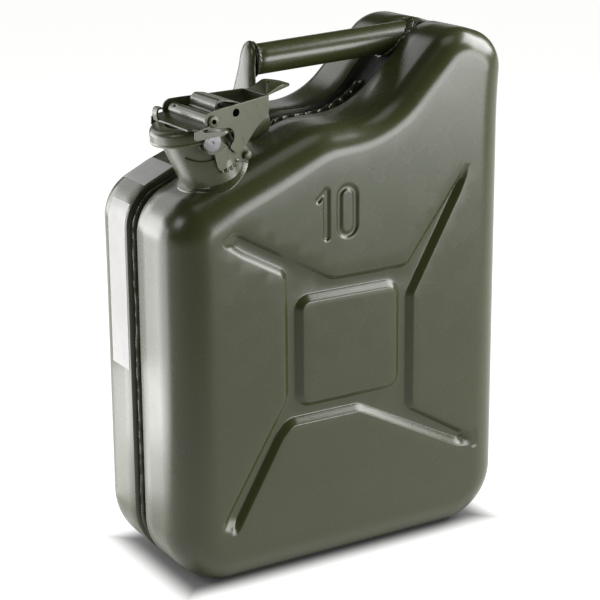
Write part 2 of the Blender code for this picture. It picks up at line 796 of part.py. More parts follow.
def lever_objects(mat, axis):
    """Locking lever: two tapered cheeks joined by a rear web and a thumb tab."""
    c = SPOUT_Y
    pieces = []

    def piece(bm, label):
        obj = add_object("lever_" + label, bm, None, (PIVOT[0], c, PIVOT[1]), axis)
        pieces.append(obj)
        return obj

    pivot_hole = circle(*PIVOT, PIVOT_R + GAP, 20)
    lock_hole = circle(*LOCK, 2.8, 16)
    built = []
    for side in (-1.0, 1.0):
        bm = bmesh.new()
        plate(bm, cheek_outline(), [pivot_hole, lock_hole],
              lambda x, z: Vector((x, c + side * cheek_half(x), z)),
              lambda x, z: Vector((x, c + side * (cheek_half(x) - LEVER_SHEET), z)))
        built.append(piece(bm, "cheek_near" if side < 0.0 else "cheek_far"))
    half = cheek_half(-54.6)
    bm = bmesh.new()
    web = [(-half + 0.1, 330.4), (half - 0.1, 330.4), (half - 0.1, 342.3), (-half + 0.1, 342.3)]
    plate(bm, web, [], lambda y, z: Vector((-55.6, c + y, z)), lambda y, z: Vector((-54.1, c + y, z)))
    web_obj = piece(bm, "web")
    bm = bmesh.new()
    tab = [(-55.4, -half + 0.4), (-51.5, -half + 1.8)]
    for k in range(13):
        a = math.radians(-90.0 + 180.0 * k / 12)
        tab.append((-42.0 + 12.0 * math.cos(a), (half - 1.9) * math.sin(a)))
    tab += [(-51.5, half - 1.8), (-55.4, half - 0.4)]

    def rise(x):
        t = (x + 55.4) / 25.0
        return 342.2 + 8.6 * t - 3.2 * t * t

    hole = circle(-44.5, 4.0, 1.3, 12)
    plate(bm, tab, [hole], lambda x, y: Vector((x, c + y, rise(x))),
          lambda x, y: Vector((x, c + y, rise(x) - LEVER_SHEET)))
    tab_obj = piece(bm, "tab")
    lever = built[0]
    for other in (built[1], web_obj, tab_obj):
        boolean(lever, as_cutter(other), 'UNION')
    lever.name = "lever"
    lever.data.materials.append(mat)
    return lever


def rivet_mesh():
    """Hollow rivet through the cheeks and the sleeve, with rolled heads."""
    bm = bmesh.new()
    c = SPOUT_Y
    face = cheek_half(PIVOT[0] - PIVOT_R - 1.3) + GAP
    bore = 1.4
    stations = [(bore, -face - 1.2), (PIVOT_R + 1.3, -face - 0.9), (PIVOT_R + 1.3, -face),
                (PIVOT_R, -face), (PIVOT_R, face), (PIVOT_R + 1.3, face),
                (PIVOT_R + 1.3, face + 0.9), (bore, face + 1.2)]
    rings = [[Vector((x, c + y, z)) for x, z in circle(*PIVOT, r, 20)] for r, y in stations]
    loft(bm, rings, closed=True)
    return bm


def ear_half(x):
    """Half width over the outer faces of the neck's ears."""
    return cheek_half(x) - LEVER_SHEET - 0.5


def make_ear(name, side, mat):
    """Ear welded to one side of the neck; it carries a stud in front and a hinge pin behind."""
    c = SPOUT_Y
    ear = [(-97.5, 298.2), (-84.0, 299.4), (-74.0, 300.6), (-70.2, 302.0), (-69.2, 304.6),
           (-70.2, 307.6), (-74.0, 310.0), (-83.0, 309.0), (-89.0, 311.8), (-93.5, 314.5),
           (-97.5, 319.9), (-111.0, 317.2), (-111.5, 313.5), (-104.0, 309.0)]
    bm = bmesh.new()
    plate(bm, ear, [circle(*HINGE, HINGE_R + GAP, 16)],
          lambda x, z: Vector((x, c + side * ear_half(x), z)),
          lambda x, z: Vector((x, c + side * (ear_half(x) - 1.6), z)))
    obj = add_object(name, bm, mat)
    bm = bmesh.new()
    loft(bm, [neck_ring(-0.3, NECK_R + GAP), neck_ring(1.0, NECK_R + GAP)])
    boolean(obj, as_cutter(add_object(name + "_bore", bm, None)), 'DIFFERENCE')
    return obj


def hinge_pin_mesh(side):
    """Short pin through an ear and a bracket arm, with a domed head outside."""
    bm = bmesh.new()
    c = SPOUT_Y
    face = ear_half(HINGE[0] - 3.1) + GAP
    stations = [(HINGE_R - 0.5, 14.4), (HINGE_R, 14.8), (HINGE_R, face), (3.1, face),
                (2.8, face + 0.9), (1.6, face + 1.4)]
    rings = [[Vector((x, c + side * y, z)) for x, z in circle(*HINGE, r, 16)] for r, y in stations]
    loft(bm, rings)
    return bm


def stud_mesh(side):
    """Side stud: shank from the neck's ear and a round plated head."""
    bm = bmesh.new()
    c = SPOUT_Y
    root = ear_half(STUD[0] - 1.7) + GAP
    head = ear_half(STUD[0] - 6.3) + GAP
    stations = [(0.9, root), (1.7, root + 0.2), (1.7, head), (6.2, head), (6.3, head + 0.4),
                (5.8, head + 0.8), (0.9, head + 0.9)]
    rings = [[Vector((x, c + side * y, z)) for x, z in circle(*STUD, r, 24)] for r, y in stations]
    loft(bm, rings)
    return bm


def main():
    for obj in list(bpy.data.objects):
        bpy.data.objects.remove(obj, do_unlink=True)

    olive = material("olive_paint", (0.082, 0.090, 0.040), 0.24, 0.0)
    olive_parts = material("olive_closure", (0.094, 0.100, 0.052), 0.30, 0.0)
    weld = material("painted_weld", (0.075, 0.082, 0.040), 0.36, 0.0)
    zinc = material("bright_zinc", (0.62, 0.62, 0.60), 0.26, 1.0)
    rubber = material("black_rubber", (0.012, 0.012, 0.012), 0.75, 0.0)

    near = make_shell("shell_near", -1.0, olive)
    make_shell("shell_far", 1.0, olive)
    boolean(near, as_cutter(add_object("neck_opening", neck_cutter_mesh(), None)), 'DIFFERENCE')

    add_object("seam_bead_main", bead_mesh(nearest_sample(-62.0, 301.0),
                                           nearest_sample(97.0, 375.8)), weld)
    add_object("seam_bead_saddle", bead_mesh(nearest_sample(48.0, 338.0),
                                             nearest_sample(-28.0, 315.0)), weld)

    add_object("handle_tube", tube_mesh(), olive)
    add_object("handle_post", post_mesh(), olive)
    add_object("handle_weld_front", weld_ring_front(), weld)
    add_object("handle_weld_rear", weld_ring_rear(), weld)

    add_object("neck", neck_mesh(), olive_parts)
    add_object("neck_weld", neck_weld_mesh(), weld)
    for side, label in ((-1.0, "near"), (1.0, "far")):
        make_ear("neck_ear_" + label, side, olive_parts)
        add_object("stud_" + label, stud_mesh(side), zinc)
        add_object("hinge_pin_" + label, hinge_pin_mesh(side), zinc)

    cap_axis = add_axis("cap_axis", (HINGE[0], SPOUT_Y, HINGE[1]))
    lever_axis = add_axis("lever_axis", (PIVOT[0], SPOUT_Y, PIVOT[1]), cap_axis)
    hinge = (HINGE[0], SPOUT_Y, HINGE[1])
    add_object("cap", cap_mesh(), olive_parts, hinge, cap_axis)
    add_object("cap_gasket", gasket_mesh(), rubber, hinge, cap_axis)
    add_object("seal_retainer", retainer_mesh(), zinc, hinge, cap_axis)
    bracket_objects(olive_parts, cap_axis)
    lever_objects(olive_parts, lever_axis)
    add_object("lever_rivet", rivet_mesh(), olive_parts, (PIVOT[0], SPOUT_Y, PIVOT[1]), lever_axis)


main()
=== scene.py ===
"""Looks of an upright ten litre pressed steel jerry can.

Sizes are in millimetres and become metres where a mesh is made. X runs along the can's width from
the spout end to the hump, Y through its depth and Z up; the origin is under the middle of the base.
"""

import logging
import math
from collections.abc import Callable
from dataclasses import dataclass, field
from enum import Enum

import bmesh
import bpy
import numpy as np
from mathutils import Matrix, Vector
from mathutils.geometry import delaunay_2d_cdt, tessellate_polygon
from numpy.typing import NDArray

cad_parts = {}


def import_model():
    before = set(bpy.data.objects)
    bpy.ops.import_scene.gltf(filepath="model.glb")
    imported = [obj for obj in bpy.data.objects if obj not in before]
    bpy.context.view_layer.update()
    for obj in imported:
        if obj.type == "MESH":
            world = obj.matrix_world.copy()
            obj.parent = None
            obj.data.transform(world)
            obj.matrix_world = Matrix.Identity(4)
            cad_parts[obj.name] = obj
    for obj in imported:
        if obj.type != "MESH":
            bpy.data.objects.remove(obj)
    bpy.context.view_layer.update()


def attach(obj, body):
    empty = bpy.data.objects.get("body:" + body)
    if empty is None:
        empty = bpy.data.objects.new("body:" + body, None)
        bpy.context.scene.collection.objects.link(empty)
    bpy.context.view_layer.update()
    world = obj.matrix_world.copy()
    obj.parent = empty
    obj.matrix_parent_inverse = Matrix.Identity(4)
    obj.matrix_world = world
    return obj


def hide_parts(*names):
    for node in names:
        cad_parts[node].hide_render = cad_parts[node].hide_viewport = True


Array = NDArray[np.float64]
Faces = NDArray[np.int64]
Place = Callable[[Array], Array]
Depth = Callable[[Array], Array]
Pair = tuple[float, float]
Triple = tuple[float, float, float]
Piece = bpy.types.Object
Socket = bpy.types.NodeSocket

MM = 0.001
GAP = 0.3
# Point attribute that weights the painted shade in the seam channel.
PAINTED_SHADE_ATTRIBUTE = "recess"
PIN_HOLE = 2.3
EYE_HOLE = 2.8
LOG = logging.getLogger("jerry_can")


class Side(Enum):
    """The two pressed halves, and the sign of Y on each."""

    NEAR = -1.0
    FAR = 1.0

    @property
    def label(self) -> str:
        """Word used in piece names."""
        return self.name.lower()


class Slot(Enum):
    """Material slots of the record."""

    PAINT = "olive_paint"
    CLOSURE = "olive_closure"
    WELD = "painted_weld"
    ZINC = "bright_zinc"
    RUBBER = "black_rubber"


class Carrier(Enum):
    """Bodies of the frame, which carry the pieces."""

    CAN = "can"
    CAP = "cap"
    LEVER = "lever"


def smoothstep(value: Array) -> Array:
    """Cubic that rises from 0 at 0 to 1 at 1, level at both ends."""
    t = np.clip(value, 0.0, 1.0)
    return t * t * (3.0 - 2.0 * t)


def wobble(phase: Array, seeds: tuple[float, ...]) -> Array:
    """Uneven wave in about -1..1: a mean of sines, one per seed, with unrelated rates."""
    waves = [np.sin(phase * seed + 1.7 * k * seed) for k, seed in enumerate(seeds)]
    return np.mean(waves, axis=0)


def grid_faces(rows: int, columns: int, wrap_rows: bool = False) -> Faces:
    """Quads of a grid whose columns close into rings.

    Args:
        rows: number of rings.
        columns: points in a ring.
        wrap_rows: also join the last ring to the first.

    Returns:
        Vertex indices, four to a face.
    """
    last = rows if wrap_rows else rows - 1
    r, c = np.meshgrid(np.arange(last), np.arange(columns), indexing="ij")
    r2, c2 = (r + 1) % rows, (c + 1) % columns
    quads = np.stack([r * columns + c, r * columns + c2, r2 * columns + c2, r2 * columns + c], axis=-1)
    return quads.reshape(-1, 4)


def finish_mesh(bm: bmesh.types.BMesh, name: str, sharp: float) -> Piece:
    """Merge doubles, turn faces outwards and link the mesh as an object at the origin.

    Args:
        bm: the mesh, which this frees.
        name: piece name.
        sharp: edges steeper than this angle stay crisp, in degrees.

    Returns:
        The linked object.
    """
    bmesh.ops.remove_doubles(bm, verts=bm.verts, dist=1e-7)
    bmesh.ops.recalc_face_normals(bm, faces=bm.faces)
    mesh = bpy.data.meshes.new(name)
    bm.to_mesh(mesh)
    bm.free()
    mesh.shade_smooth()
    mesh.set_sharp_from_angle(angle=math.radians(sharp))
    obj = bpy.data.objects.new(name, mesh)
    bpy.context.scene.collection.objects.link(obj)
    return obj


def add_mesh(bm: bmesh.types.BMesh, points: Array, quads: Faces, fans: list[list[int]],
             recess: Array | None = None) -> None:
    """Add a mesh given as arrays to a bmesh.

    Args:
        bm: where the mesh goes.
        points: (n, 3) points in millimetres.
        quads: faces with four corners.
        fans: faces of any size, as lists of corners.
        recess: weight of the painted shade at each point, kept as a point attribute, if it has one.
    """
    sizes = np.array([len(f) for f in fans], dtype=np.int64)
    corners = np.concatenate([quads.ravel(), *[np.array(f) for f in fans]]).astype(np.int32)
    counts = np.concatenate([np.full(len(quads), 4), sizes]).astype(np.int64)
    starts = np.concatenate([[0], np.cumsum(counts)[:-1]]).astype(np.int32)
    mesh = bpy.data.meshes.new("work")
    mesh.vertices.add(len(points))
    mesh.vertices.foreach_set("co", (points * MM).astype(np.float32).ravel())
    mesh.loops.add(len(corners))
    mesh.loops.foreach_set("vertex_index", corners)
    mesh.polygons.add(len(starts))
    mesh.polygons.foreach_set("loop_start", starts)
    mesh.update(calc_edges=True)
    if recess is not None:
        mesh.attributes.new(PAINTED_SHADE_ATTRIBUTE, "FLOAT", "POINT").data.foreach_set("value", recess)
    bm.from_mesh(mesh)
    bpy.data.meshes.remove(mesh)


def end_caps(rows: int, columns: int) -> list[list[int]]:
    """Faces that close the first and the last ring of a grid."""
    return [list(range(columns))[::-1], list(range((rows - 1) * columns, rows * columns))]


def ring_object(name: str, rings: Array, closed: bool = False, sharp: float = 50.0) -> Piece:
    """Object skinned over rings of points.

    Args:
        name: piece name.
        rings: points as (ring, point in ring, xyz) in millimetres.
        closed: join the last ring to the first instead of capping both ends.
        sharp: edges steeper than this angle stay crisp, in degrees.

    Returns:
        The linked object.
    """
    rows, columns, _ = rings.shape
    caps = [] if closed else end_caps(rows, columns)
    bm = bmesh.new()
    add_mesh(bm, rings.reshape(-1, 3), grid_faces(rows, columns, closed), caps)
    return finish_mesh(bm, name, sharp)


def turn_between(back: Array, ahead: Array) -> float:
    """Signed angle from one direction of a plane to another."""
    return math.atan2(back[0] * ahead[1] - back[1] * ahead[0], float(back @ ahead))


def corner_arc(corner: Array, back: Array, turn: float, radius: float, steps: int) -> tuple[Array, Array]:
    """Arc that rounds a corner: it starts radius * tan(turn / 2) before it and turns about its centre.

    Args:
        corner: the corner.
        back: unit direction that leads to it.
        turn: signed angle of the turn.
        radius: radius of the arc.
        steps: pieces in the arc.

    Returns:
        The arc's centre, and its points as seen from there.
    """
    start = corner - back * (radius * math.tan(abs(turn) / 2.0))
    centre = start + np.array([-back[1], back[0]]) * math.copysign(radius, turn)
    angles = turn * np.linspace(0.0, 1.0, steps + 1)
    spoke = start - centre
    cos, sin = np.cos(angles), np.sin(angles)
    return centre, np.stack([spoke[0] * cos - spoke[1] * sin, spoke[0] * sin + spoke[1] * cos], axis=1)


def rounded_path(corners: Array, radii: Array, steps: int = 6, closed: bool = True) -> Array:
    """Path through corners with an arc at each, made smaller where a side has no room for it.

    Args:
        corners: (n, 2) points.
        radii: arc radius at each corner.
        steps: pieces in an arc.
        closed: whether the path is a loop; otherwise its two ends stay as they are.

    Returns:
        (m, 2) points.
    """
    pieces = []
    count = len(corners)
    for i in range(count):
        if not closed and i in (0, count - 1):
            pieces.append(corners[i:i + 1])
            continue
        back = corners[i] - corners[i - 1]
        ahead = corners[(i + 1) % count] - corners[i]
        lengths = np.linalg.norm(back), np.linalg.norm(ahead)
        back, ahead = back / lengths[0], ahead / lengths[1]
        turn = turn_between(back, ahead)
        if abs(turn) < 1e-4 or radii[i] <= 0.0:
            pieces.append(corners[i:i + 1])
            continue
        room = 0.48 * min(lengths) / math.tan(abs(turn) / 2.0)
        centre, arc = corner_arc(corners[i], back, turn, min(float(radii[i]), room), steps)
        pieces.append(centre + arc)
    return np.concatenate(pieces)


def circle(x: float, z: float, radius: float, count: int = 32) -> Array:
    """Points of a circle in a plane."""
    a = np.linspace(0.0, 2.0 * np.pi, count, endpoint=False)
    return np.stack([x + radius * np.cos(a), z + radius * np.sin(a)], axis=1)


def segment_distance(points: Array, start: Array, end: Array) -> Array:
    """Distance from each point to the nearest spot of a straight segment.

    Args:
        points: (n, 2) points.
        start: one end.
        end: the other end.

    Returns:
        n distances.
    """
    along = end - start
    t = np.clip((points - start) @ along / max(float(along @ along), 1e-12), 0.0, 1.0)
    return np.linalg.norm(points - start - t[:, None] * along, axis=1)


def signed_distance(points: Array, loop: Array) -> Array:
    """Distance to a closed loop, positive inside; inside is an odd count of edge crossings.

    Args:
        points: (n, 2) points.
        loop: (m, 2) points of a closed loop.

    Returns:
        n distances.
    """
    best = np.full(len(points), 1e9)
    inside = np.zeros(len(points), dtype=bool)
    for a, b in zip(loop, np.roll(loop, -1, axis=0)):
        best = np.minimum(best, segment_distance(points, a, b))
        if a[1] != b[1]:
            spans = (a[1] > points[:, 1]) != (b[1] > points[:, 1])
            cross = a[0] + (b[0] - a[0]) * (points[:, 1] - a[1]) / (b[1] - a[1])
            inside ^= spans & (points[:, 0] < cross)
    return np.where(inside, best, -best)


def ramp(value: Array, half: float, blend: float) -> Array:
    """Straight rise from 0 at -half to 1 at +half, with both ends eased over twice the blend.

    Args:
        value: where to read the ramp.
        half: half of its length.
        blend: how far each end is eased.

    Returns:
        Values from 0 to 1.
    """

    def soft(t: Array) -> Array:
        """Zero, then a parabola, then t itself."""
        return np.where(t > blend, t, np.where(t < -blend, 0.0, (t + blend) ** 2 / (4.0 * blend)))

    return (soft(value + half) - soft(value - half)) / (2.0 * half)


def evenly(loop: Array, step: float) -> Array:
    """Points of a closed loop about one step apart.

    Args:
        loop: (n, 2) points.
        step: the distance wanted.

    Returns:
        (m, 2) points.
    """
    full = np.concatenate([loop, loop[:1]])
    walked = np.concatenate([[0.0], np.cumsum(np.linalg.norm(np.diff(full, axis=0), axis=1))])
    s = np.linspace(0.0, walked[-1], int(walked[-1] / step), endpoint=False)
    return np.stack([np.interp(s, walked, full[:, 0]), np.interp(s, walked, full[:, 1])], axis=1)


def looped(values: Array, stations: Array, at: Array) -> Array:
    """Values of a loop, read between stations; the first value stands again at the last station.

    Args:
        values: one value or row for each station but the last.
        stations: distances, rising from 0 to the whole.
        at: distances to read at.

    Returns:
        A value or row for each of them.
    """
    full = np.concatenate([values, values[:1]])
    if full.ndim == 1:
        return np.interp(at, stations, full)
    return np.stack([np.interp(at, stations, column) for column in full.T], axis=1)


def plane_grid(across: Pair, up: Pair, step: float) -> Array:
    """Points of a square grid between two limits of each coordinate."""
    return np.stack(np.meshgrid(np.arange(*across, step), np.arange(*up, step)), axis=-1).reshape(-1, 2)


@dataclass
class Outline:
    """Samples of the can's side view, evenly spaced along its length."""

    point: Array
    inward: Array
    edge: Array
    groove: Array
    length: Array

    @property
    def total(self) -> float:
        """Length once round."""
        step = self.length[1] - self.length[0]
        return float(self.length[-1] + step)

    def at(self, distance: Array) -> "Outline":
        """Samples at any distances along the outline, which wraps round.

        Args:
            distance: distances along the outline.

        Returns:
            The samples there.
        """
        s = np.mod(distance, self.total)
        stations = np.append(self.length, self.total)
        point, inward, edge, groove = (looped(values, stations, s)
                                       for values in (self.point, self.inward, self.edge, self.groove))
        inward /= np.linalg.norm(inward, axis=1, keepdims=True)
        return Outline(point, inward, edge, groove, s)

    def nearest(self, x: float, z: float) -> float:
        """Distance along the outline of the sample nearest to a point."""
        return float(self.length[np.argmin(np.linalg.norm(self.point - np.array([x, z]), axis=1))])

    def upper(self, lowest: float, inward_z: float, right: float) -> Array:
        """Samples of the upper side in order of X, as their indices.

        Args:
            lowest: samples lie above this height.
            inward_z: their inward normal's Z is below this.
            right: they lie left of this X.

        Returns:
            The indices.
        """
        kept = (self.point[:, 1] > lowest) & (self.inward[:, 1] < inward_z) & (self.point[:, 0] < right)
        found = np.flatnonzero(kept)
        return found[np.argsort(self.point[found, 0])]


@dataclass
class Body:
    """The two pressed halves and the weld between them."""

    half_depth: float = 65.0
    sheet: float = 1.0
    base_corner: float = 44.0
    side_round: float = 29.0
    top_round: float = 18.0
    channel_depth: float = 5.2
    seat_depth: float = 3.1
    press_depth: float = 4.2
    slope_half: float = 2.3
    slope_blend: float = 0.7
    tip_fade: float = 15.0
    square: tuple[float, float, float, float] = (-41.8, 39.3, 125.1, 201.9)
    square_corner: float = 8.5
    numeral_depth: float = 1.4
    columns: int = 640
    wall_rows: int = 10
    wall_foot: float = 2.6
    wall_lean: float = 3.0
    middle: Pair = (-2.0, 165.0)
    outline: Outline = field(init=False)

    def __post_init__(self) -> None:
        """Work out the outline once."""
        self.outline = self.make_outline()

    def corners(self) -> Array:
        """Outline corners: x, z, fillet radius and edge rounding of the side that follows.

        Returns:
            Eight rows, from the base's corner at the hump end.
        """
        side, top = self.side_round, self.top_round
        return np.array([
            (136.0, 0.0, self.base_corner, side), (136.0, 365.4, 30.0, top), (89.5, 380.0, 31.0, top),
            (28.0, 318.5, 62.0, top), (-21.0, 317.6, 60.0, 24.0), (-98.0, 288.0, 45.0, 26.0),
            (-136.0, 270.0, 34.0, side), (-136.0, 0.0, self.base_corner, side)])

    def make_outline(self) -> Outline:
        """Outline with its corners turned into arcs, then spaced evenly along its length.

        Returns:
            The outline, in as many samples as a ring has columns.
        """
        corners, steps = self.corners(), 39
        points, normals, edges = [], [], []
        for i, (x, z, radius, _) in enumerate(corners):
            here = np.array([x, z])
            back = here - corners[i - 1, :2]
            ahead = corners[(i + 1) % len(corners), :2] - here
            back, ahead = back / np.linalg.norm(back), ahead / np.linalg.norm(ahead)
            turn = turn_between(back, ahead)
            centre, arc = corner_arc(here, back, turn, radius, steps)
            points.append(centre + arc)
            normals.append(-arc / math.copysign(radius, turn))
            edges.append(np.linspace(corners[i - 1, 3], corners[i, 3], steps + 1))
        point, normal, edge = np.concatenate(points), np.concatenate(normals), np.concatenate(edges)
        walked = np.cumsum(np.linalg.norm(np.roll(point, -1, axis=0) - point, axis=1))
        walked = np.concatenate([[0.0], walked])
        s = np.linspace(0.0, walked[-1], self.columns, endpoint=False)
        inward = looped(normal, walked, s)
        inward /= np.linalg.norm(inward, axis=1, keepdims=True)
        place = looped(point, walked, s)
        edge = self.even(looped(edge, walked, s), 22)
        return Outline(place, inward, edge, self.even(self.groove_half(place), 5), s)

    @staticmethod
    def even(values: Array, reach: int) -> Array:
        """Circular running mean over samples up to reach away, so that widths change without a kink."""
        return np.mean([np.roll(values, k) for k in range(-reach, reach + 1)], axis=0)

    @staticmethod
    def groove_half(point: Array) -> Array:
        """Half width of the seam channel, wider over the saddle and where the handle seats.

        Args:
            point: (n, 2) points of the outline.

        Returns:
            n half widths.
        """
        stations = (-60.0, -40.0, 38.0, 54.0, 92.0, 112.0)
        widths = (8.0, 12.0, 12.0, 16.0, 16.0, 8.0)
        return np.where(point[:, 1] < 300.0, 8.0, np.interp(point[:, 0], stations, widths))

    def cross_loop(self) -> Array:
        """Middle of the slope that leads down into the recessed cross.

        Returns:
            Points of a closed loop.
        """
        corners = np.array([
            (-91.5, 256.3, 4.0), (-102.0, 251.8, 3.0), (-84.0, 239.5, 60.0), (-52.0, 221.8, 9.0),
            (-52.0, 132.0, 14.0), (-105.0, 46.0, 3.5), (-95.0, 42.0, 3.5), (-58.5, 104.5, 20.0),
            (-49.5, 114.4, 12.0), (7.3, 114.4, 14.0), (94.0, 69.6, 60.0), (105.5, 67.6, 2.0),
            (105.5, 72.8, 2.0), (49.8, 106.2, 8.0), (49.8, 191.5, 9.0), (90.5, 262.5, 80.0),
            (99.0, 283.0, 1.5), (95.5, 277.0, 10.0), (64.0, 236.5, 60.0), (46.5, 213.3, 10.0),
            (-14.5, 213.3, 16.0)])
        return rounded_path(corners[:, :2], corners[:, 2], 8)

    @staticmethod
    def arm_tips() -> Array:
        """Ends of the cross's arms, where its floor rises to the flat of the face."""
        return np.array([(-99.5, 256.5), (-102.0, 42.0), (107.0, 69.8), (98.5, 282.5)])

    def square_loop(self) -> Array:
        """Middle of the slope round the raised square.

        Returns:
            Points of a closed loop.
        """
        x0, x1, z0, z1 = self.square
        corners = np.array([(x0, z0), (x1, z0), (x1, z1), (x0, z1)])
        return rounded_path(corners, np.full(4, self.square_corner), 10)

    def recess(self, flat: Array) -> Array:
        """Depth of the pressing at points of the broad face.

        A straight slope with eased edges leads down into the cross and up again to the square; the
        floor rises near the end of each arm.

        Args:
            flat: (n, 2) points.

        Returns:
            n depths, 0 on the flat of the face.
        """
        cross = ramp(signed_distance(flat, self.cross_loop()), self.slope_half, self.slope_blend)
        square = ramp(signed_distance(flat, self.square_loop()), self.slope_half, self.slope_blend)
        away = np.min([np.linalg.norm(flat - tip, axis=1) for tip in self.arm_tips()], axis=0)
        return self.press_depth * cross * (1.0 - square) * smoothstep(away / self.tip_fade)

    def numerals(self, flat: Array) -> Array:
        """Depth of the pressed figures one and nought at points of the broad face.

        Each stroke is the set of points near a line; its depth falls off towards the edge.

        Args:
            flat: (n, 2) points.

        Returns:
            n depths, 0 outside the figures.
        """
        stem_half, flag_half, nought_half, nought_radius = 3.2, 2.7, 2.75, 6.5
        stem = segment_distance(flat, np.array([-20.3, 243.4]), np.array([-20.3, 275.4])) - stem_half
        flag = segment_distance(flat, np.array([-20.5, 275.4]), np.array([-26.9, 269.9])) - flag_half
        axis = segment_distance(flat, np.array([-3.4, 249.3]), np.array([-3.4, 270.1]))
        nought = np.abs(axis - nought_radius) - nought_half
        return self.numeral_depth * ramp(-np.minimum(np.minimum(stem, flag), nought) - 0.9, 0.75, 0.35)

    def slope_lines(self, loop: Array) -> list[Array]:
        """Lines along a slope, each at one distance from its middle and broken where sides meet.

        Args:
            loop: middle of the slope.

        Returns:
            The lines, each with two points or more.
        """
        half, blend = self.slope_half, self.slope_blend
        steps = (half + blend, half + blend / 3.0, half - blend / 3.0, half - blend, 0.0)
        dense = evenly(loop, 1.4)
        along = np.roll(dense, -1, axis=0) - np.roll(dense, 1, axis=0)
        along /= np.linalg.norm(along, axis=1, keepdims=True)
        inward = np.stack([-along[:, 1], along[:, 0]], axis=1)
        inward *= np.sign(signed_distance(dense + inward * 0.4, loop))[:, None]
        lines = []
        for offset in sorted({*steps, *(-s for s in steps)}):
            moved = dense + inward * offset
            true = np.abs(np.abs(signed_distance(moved, loop)) - abs(offset)) < 0.12
            runs = np.split(np.arange(len(dense)), np.flatnonzero(~true))
            lines += [moved[run[true[run]]] for run in runs if true[run].sum() > 1]
        return lines

    def face(self, rim: Array, side: Side) -> tuple[Array, Faces]:
        """Patterned broad face inside its rim, as points and triangles.

        Triangles follow the lines of the slopes, a fine grid lies under the figures and a wide one
        elsewhere; the depth of every point then comes from the pattern.

        Args:
            rim: loop that the face fills.
            side: the half; the near one has the figures.

        Returns:
            Points on the positive side of Y, and triangles.
        """
        loops = (self.cross_loop(), self.square_loop())
        wide = plane_grid((-100.0, 101.0), (35.0, 330.0), 10.0)
        clear = signed_distance(wide, rim) > 6.0
        for loop in loops:
            clear &= np.abs(signed_distance(wide, loop)) > 5.0
        spots = [rim, wide[clear]]
        links = [np.stack([np.arange(len(rim)), np.roll(np.arange(len(rim)), -1)], axis=1)]
        first = len(rim) + int(clear.sum())
        for line in [line for loop in loops for line in self.slope_lines(loop)]:
            index = first + np.arange(len(line))
            links.append(np.stack([index[:-1], index[1:]], axis=1))
            spots.append(line)
            first += len(line)
        if side is Side.NEAR:
            spots.append(plane_grid((-32.0, 8.0), (237.5, 282.0), 0.55))
        flat = np.concatenate(spots)
        found, _, triangles, *_ = delaunay_2d_cdt([Vector(p) for p in flat.tolist()],
                                                  np.concatenate(links).tolist(), [], 0, 1e-3)
        points = np.array([tuple(v) for v in found])
        faces = np.array(triangles, dtype=np.int64)
        faces = faces[signed_distance(points[faces].mean(axis=1), rim) > 0.0]
        depth = self.half_depth - self.recess(points)
        if side is Side.NEAR:
            depth -= self.numerals(points)
        return np.stack([points[:, 0], depth, points[:, 1]], axis=1), faces

    def outer_rows(self) -> tuple[Array, Array]:
        """Rows from the seam lip to the rim of the broad face, as |y| and inset from the outline.

        The channel's wall is a cubic; the rounding is a quarter circle of the local edge radius.

        Returns:
            Two arrays with a row for each ring and a column for each sample.
        """
        groove, edge = self.outline.groove, self.outline.edge
        k = np.linspace(0.0, 1.0, self.wall_rows)[:, None]
        wall_y = groove - self.wall_foot + self.wall_lean * k
        wall_in = self.channel_depth * (1.0 - smoothstep(k)) * np.ones_like(groove)
        m = np.array([0.4, 0.8, 1.0])[:, None]
        side_y = (groove - self.wall_foot + self.wall_lean) * (1.0 - m) + (self.half_depth - edge) * m
        a = np.linspace(0.0, 0.5 * np.pi, 17)[1:, None]
        round_y = self.half_depth - edge * (1.0 - np.sin(a))
        round_in = edge * (1.0 - np.cos(a))
        lip = np.full((1, len(groove)), GAP / 2.0)
        y = np.concatenate([lip, wall_y, side_y, round_y])
        inset = np.concatenate([np.full_like(lip, self.channel_depth), wall_in,
                                np.zeros_like(side_y), round_in])
        return y, inset

    def inner_rows(self) -> tuple[Array, Array]:
        """The same for the inner face of the sheet, with few rows because it is seldom seen.

        Returns:
            The two arrays.
        """
        groove, edge = self.outline.groove, self.outline.edge
        k = np.linspace(0.0, 1.0, 4)[:, None]
        wall_y = groove - self.wall_foot + 0.8 * self.sheet + self.wall_lean * k
        wall_in = self.channel_depth * (1.0 - smoothstep(k)) + self.sheet * np.ones_like(groove)
        depth = self.half_depth - self.press_depth - self.sheet - GAP
        a = np.linspace(0.0, 0.5 * np.pi, 7)[:, None]
        round_y = depth - edge * (1.0 - np.sin(a))
        round_in = self.sheet + edge * (1.0 - np.cos(a))
        lip = np.full((1, len(groove)), GAP / 2.0)
        y = np.concatenate([lip, wall_y, round_y])
        inset = np.concatenate([np.full_like(lip, self.channel_depth + self.sheet), wall_in, round_in])
        return y, inset

    def placed_rows(self, y: Array, inset: Array) -> Array:
        """Points of rows given as |y| and inset, still on the positive side of Y."""
        place = self.outline.point[None] + self.outline.inward[None] * inset[..., None]
        return np.stack([place[..., 0], y, place[..., 1]], axis=-1)

    def back_rings(self, rim: Array, count: int) -> Array:
        """Rings of the inner face, which shrink evenly from its rim to its middle.

        Args:
            rim: the inner face's outermost ring.
            count: one more than the rings wanted.

        Returns:
            The rings.
        """
        middle = np.array(self.middle)
        t = np.linspace(1.0, 0.0, count + 1)[1:-1, None, None]
        flat = middle + (rim[None][..., [0, 2]] - middle) * t
        return np.stack([flat[..., 0], np.full(flat.shape[:2], rim[0, 1]), flat[..., 1]], axis=-1)

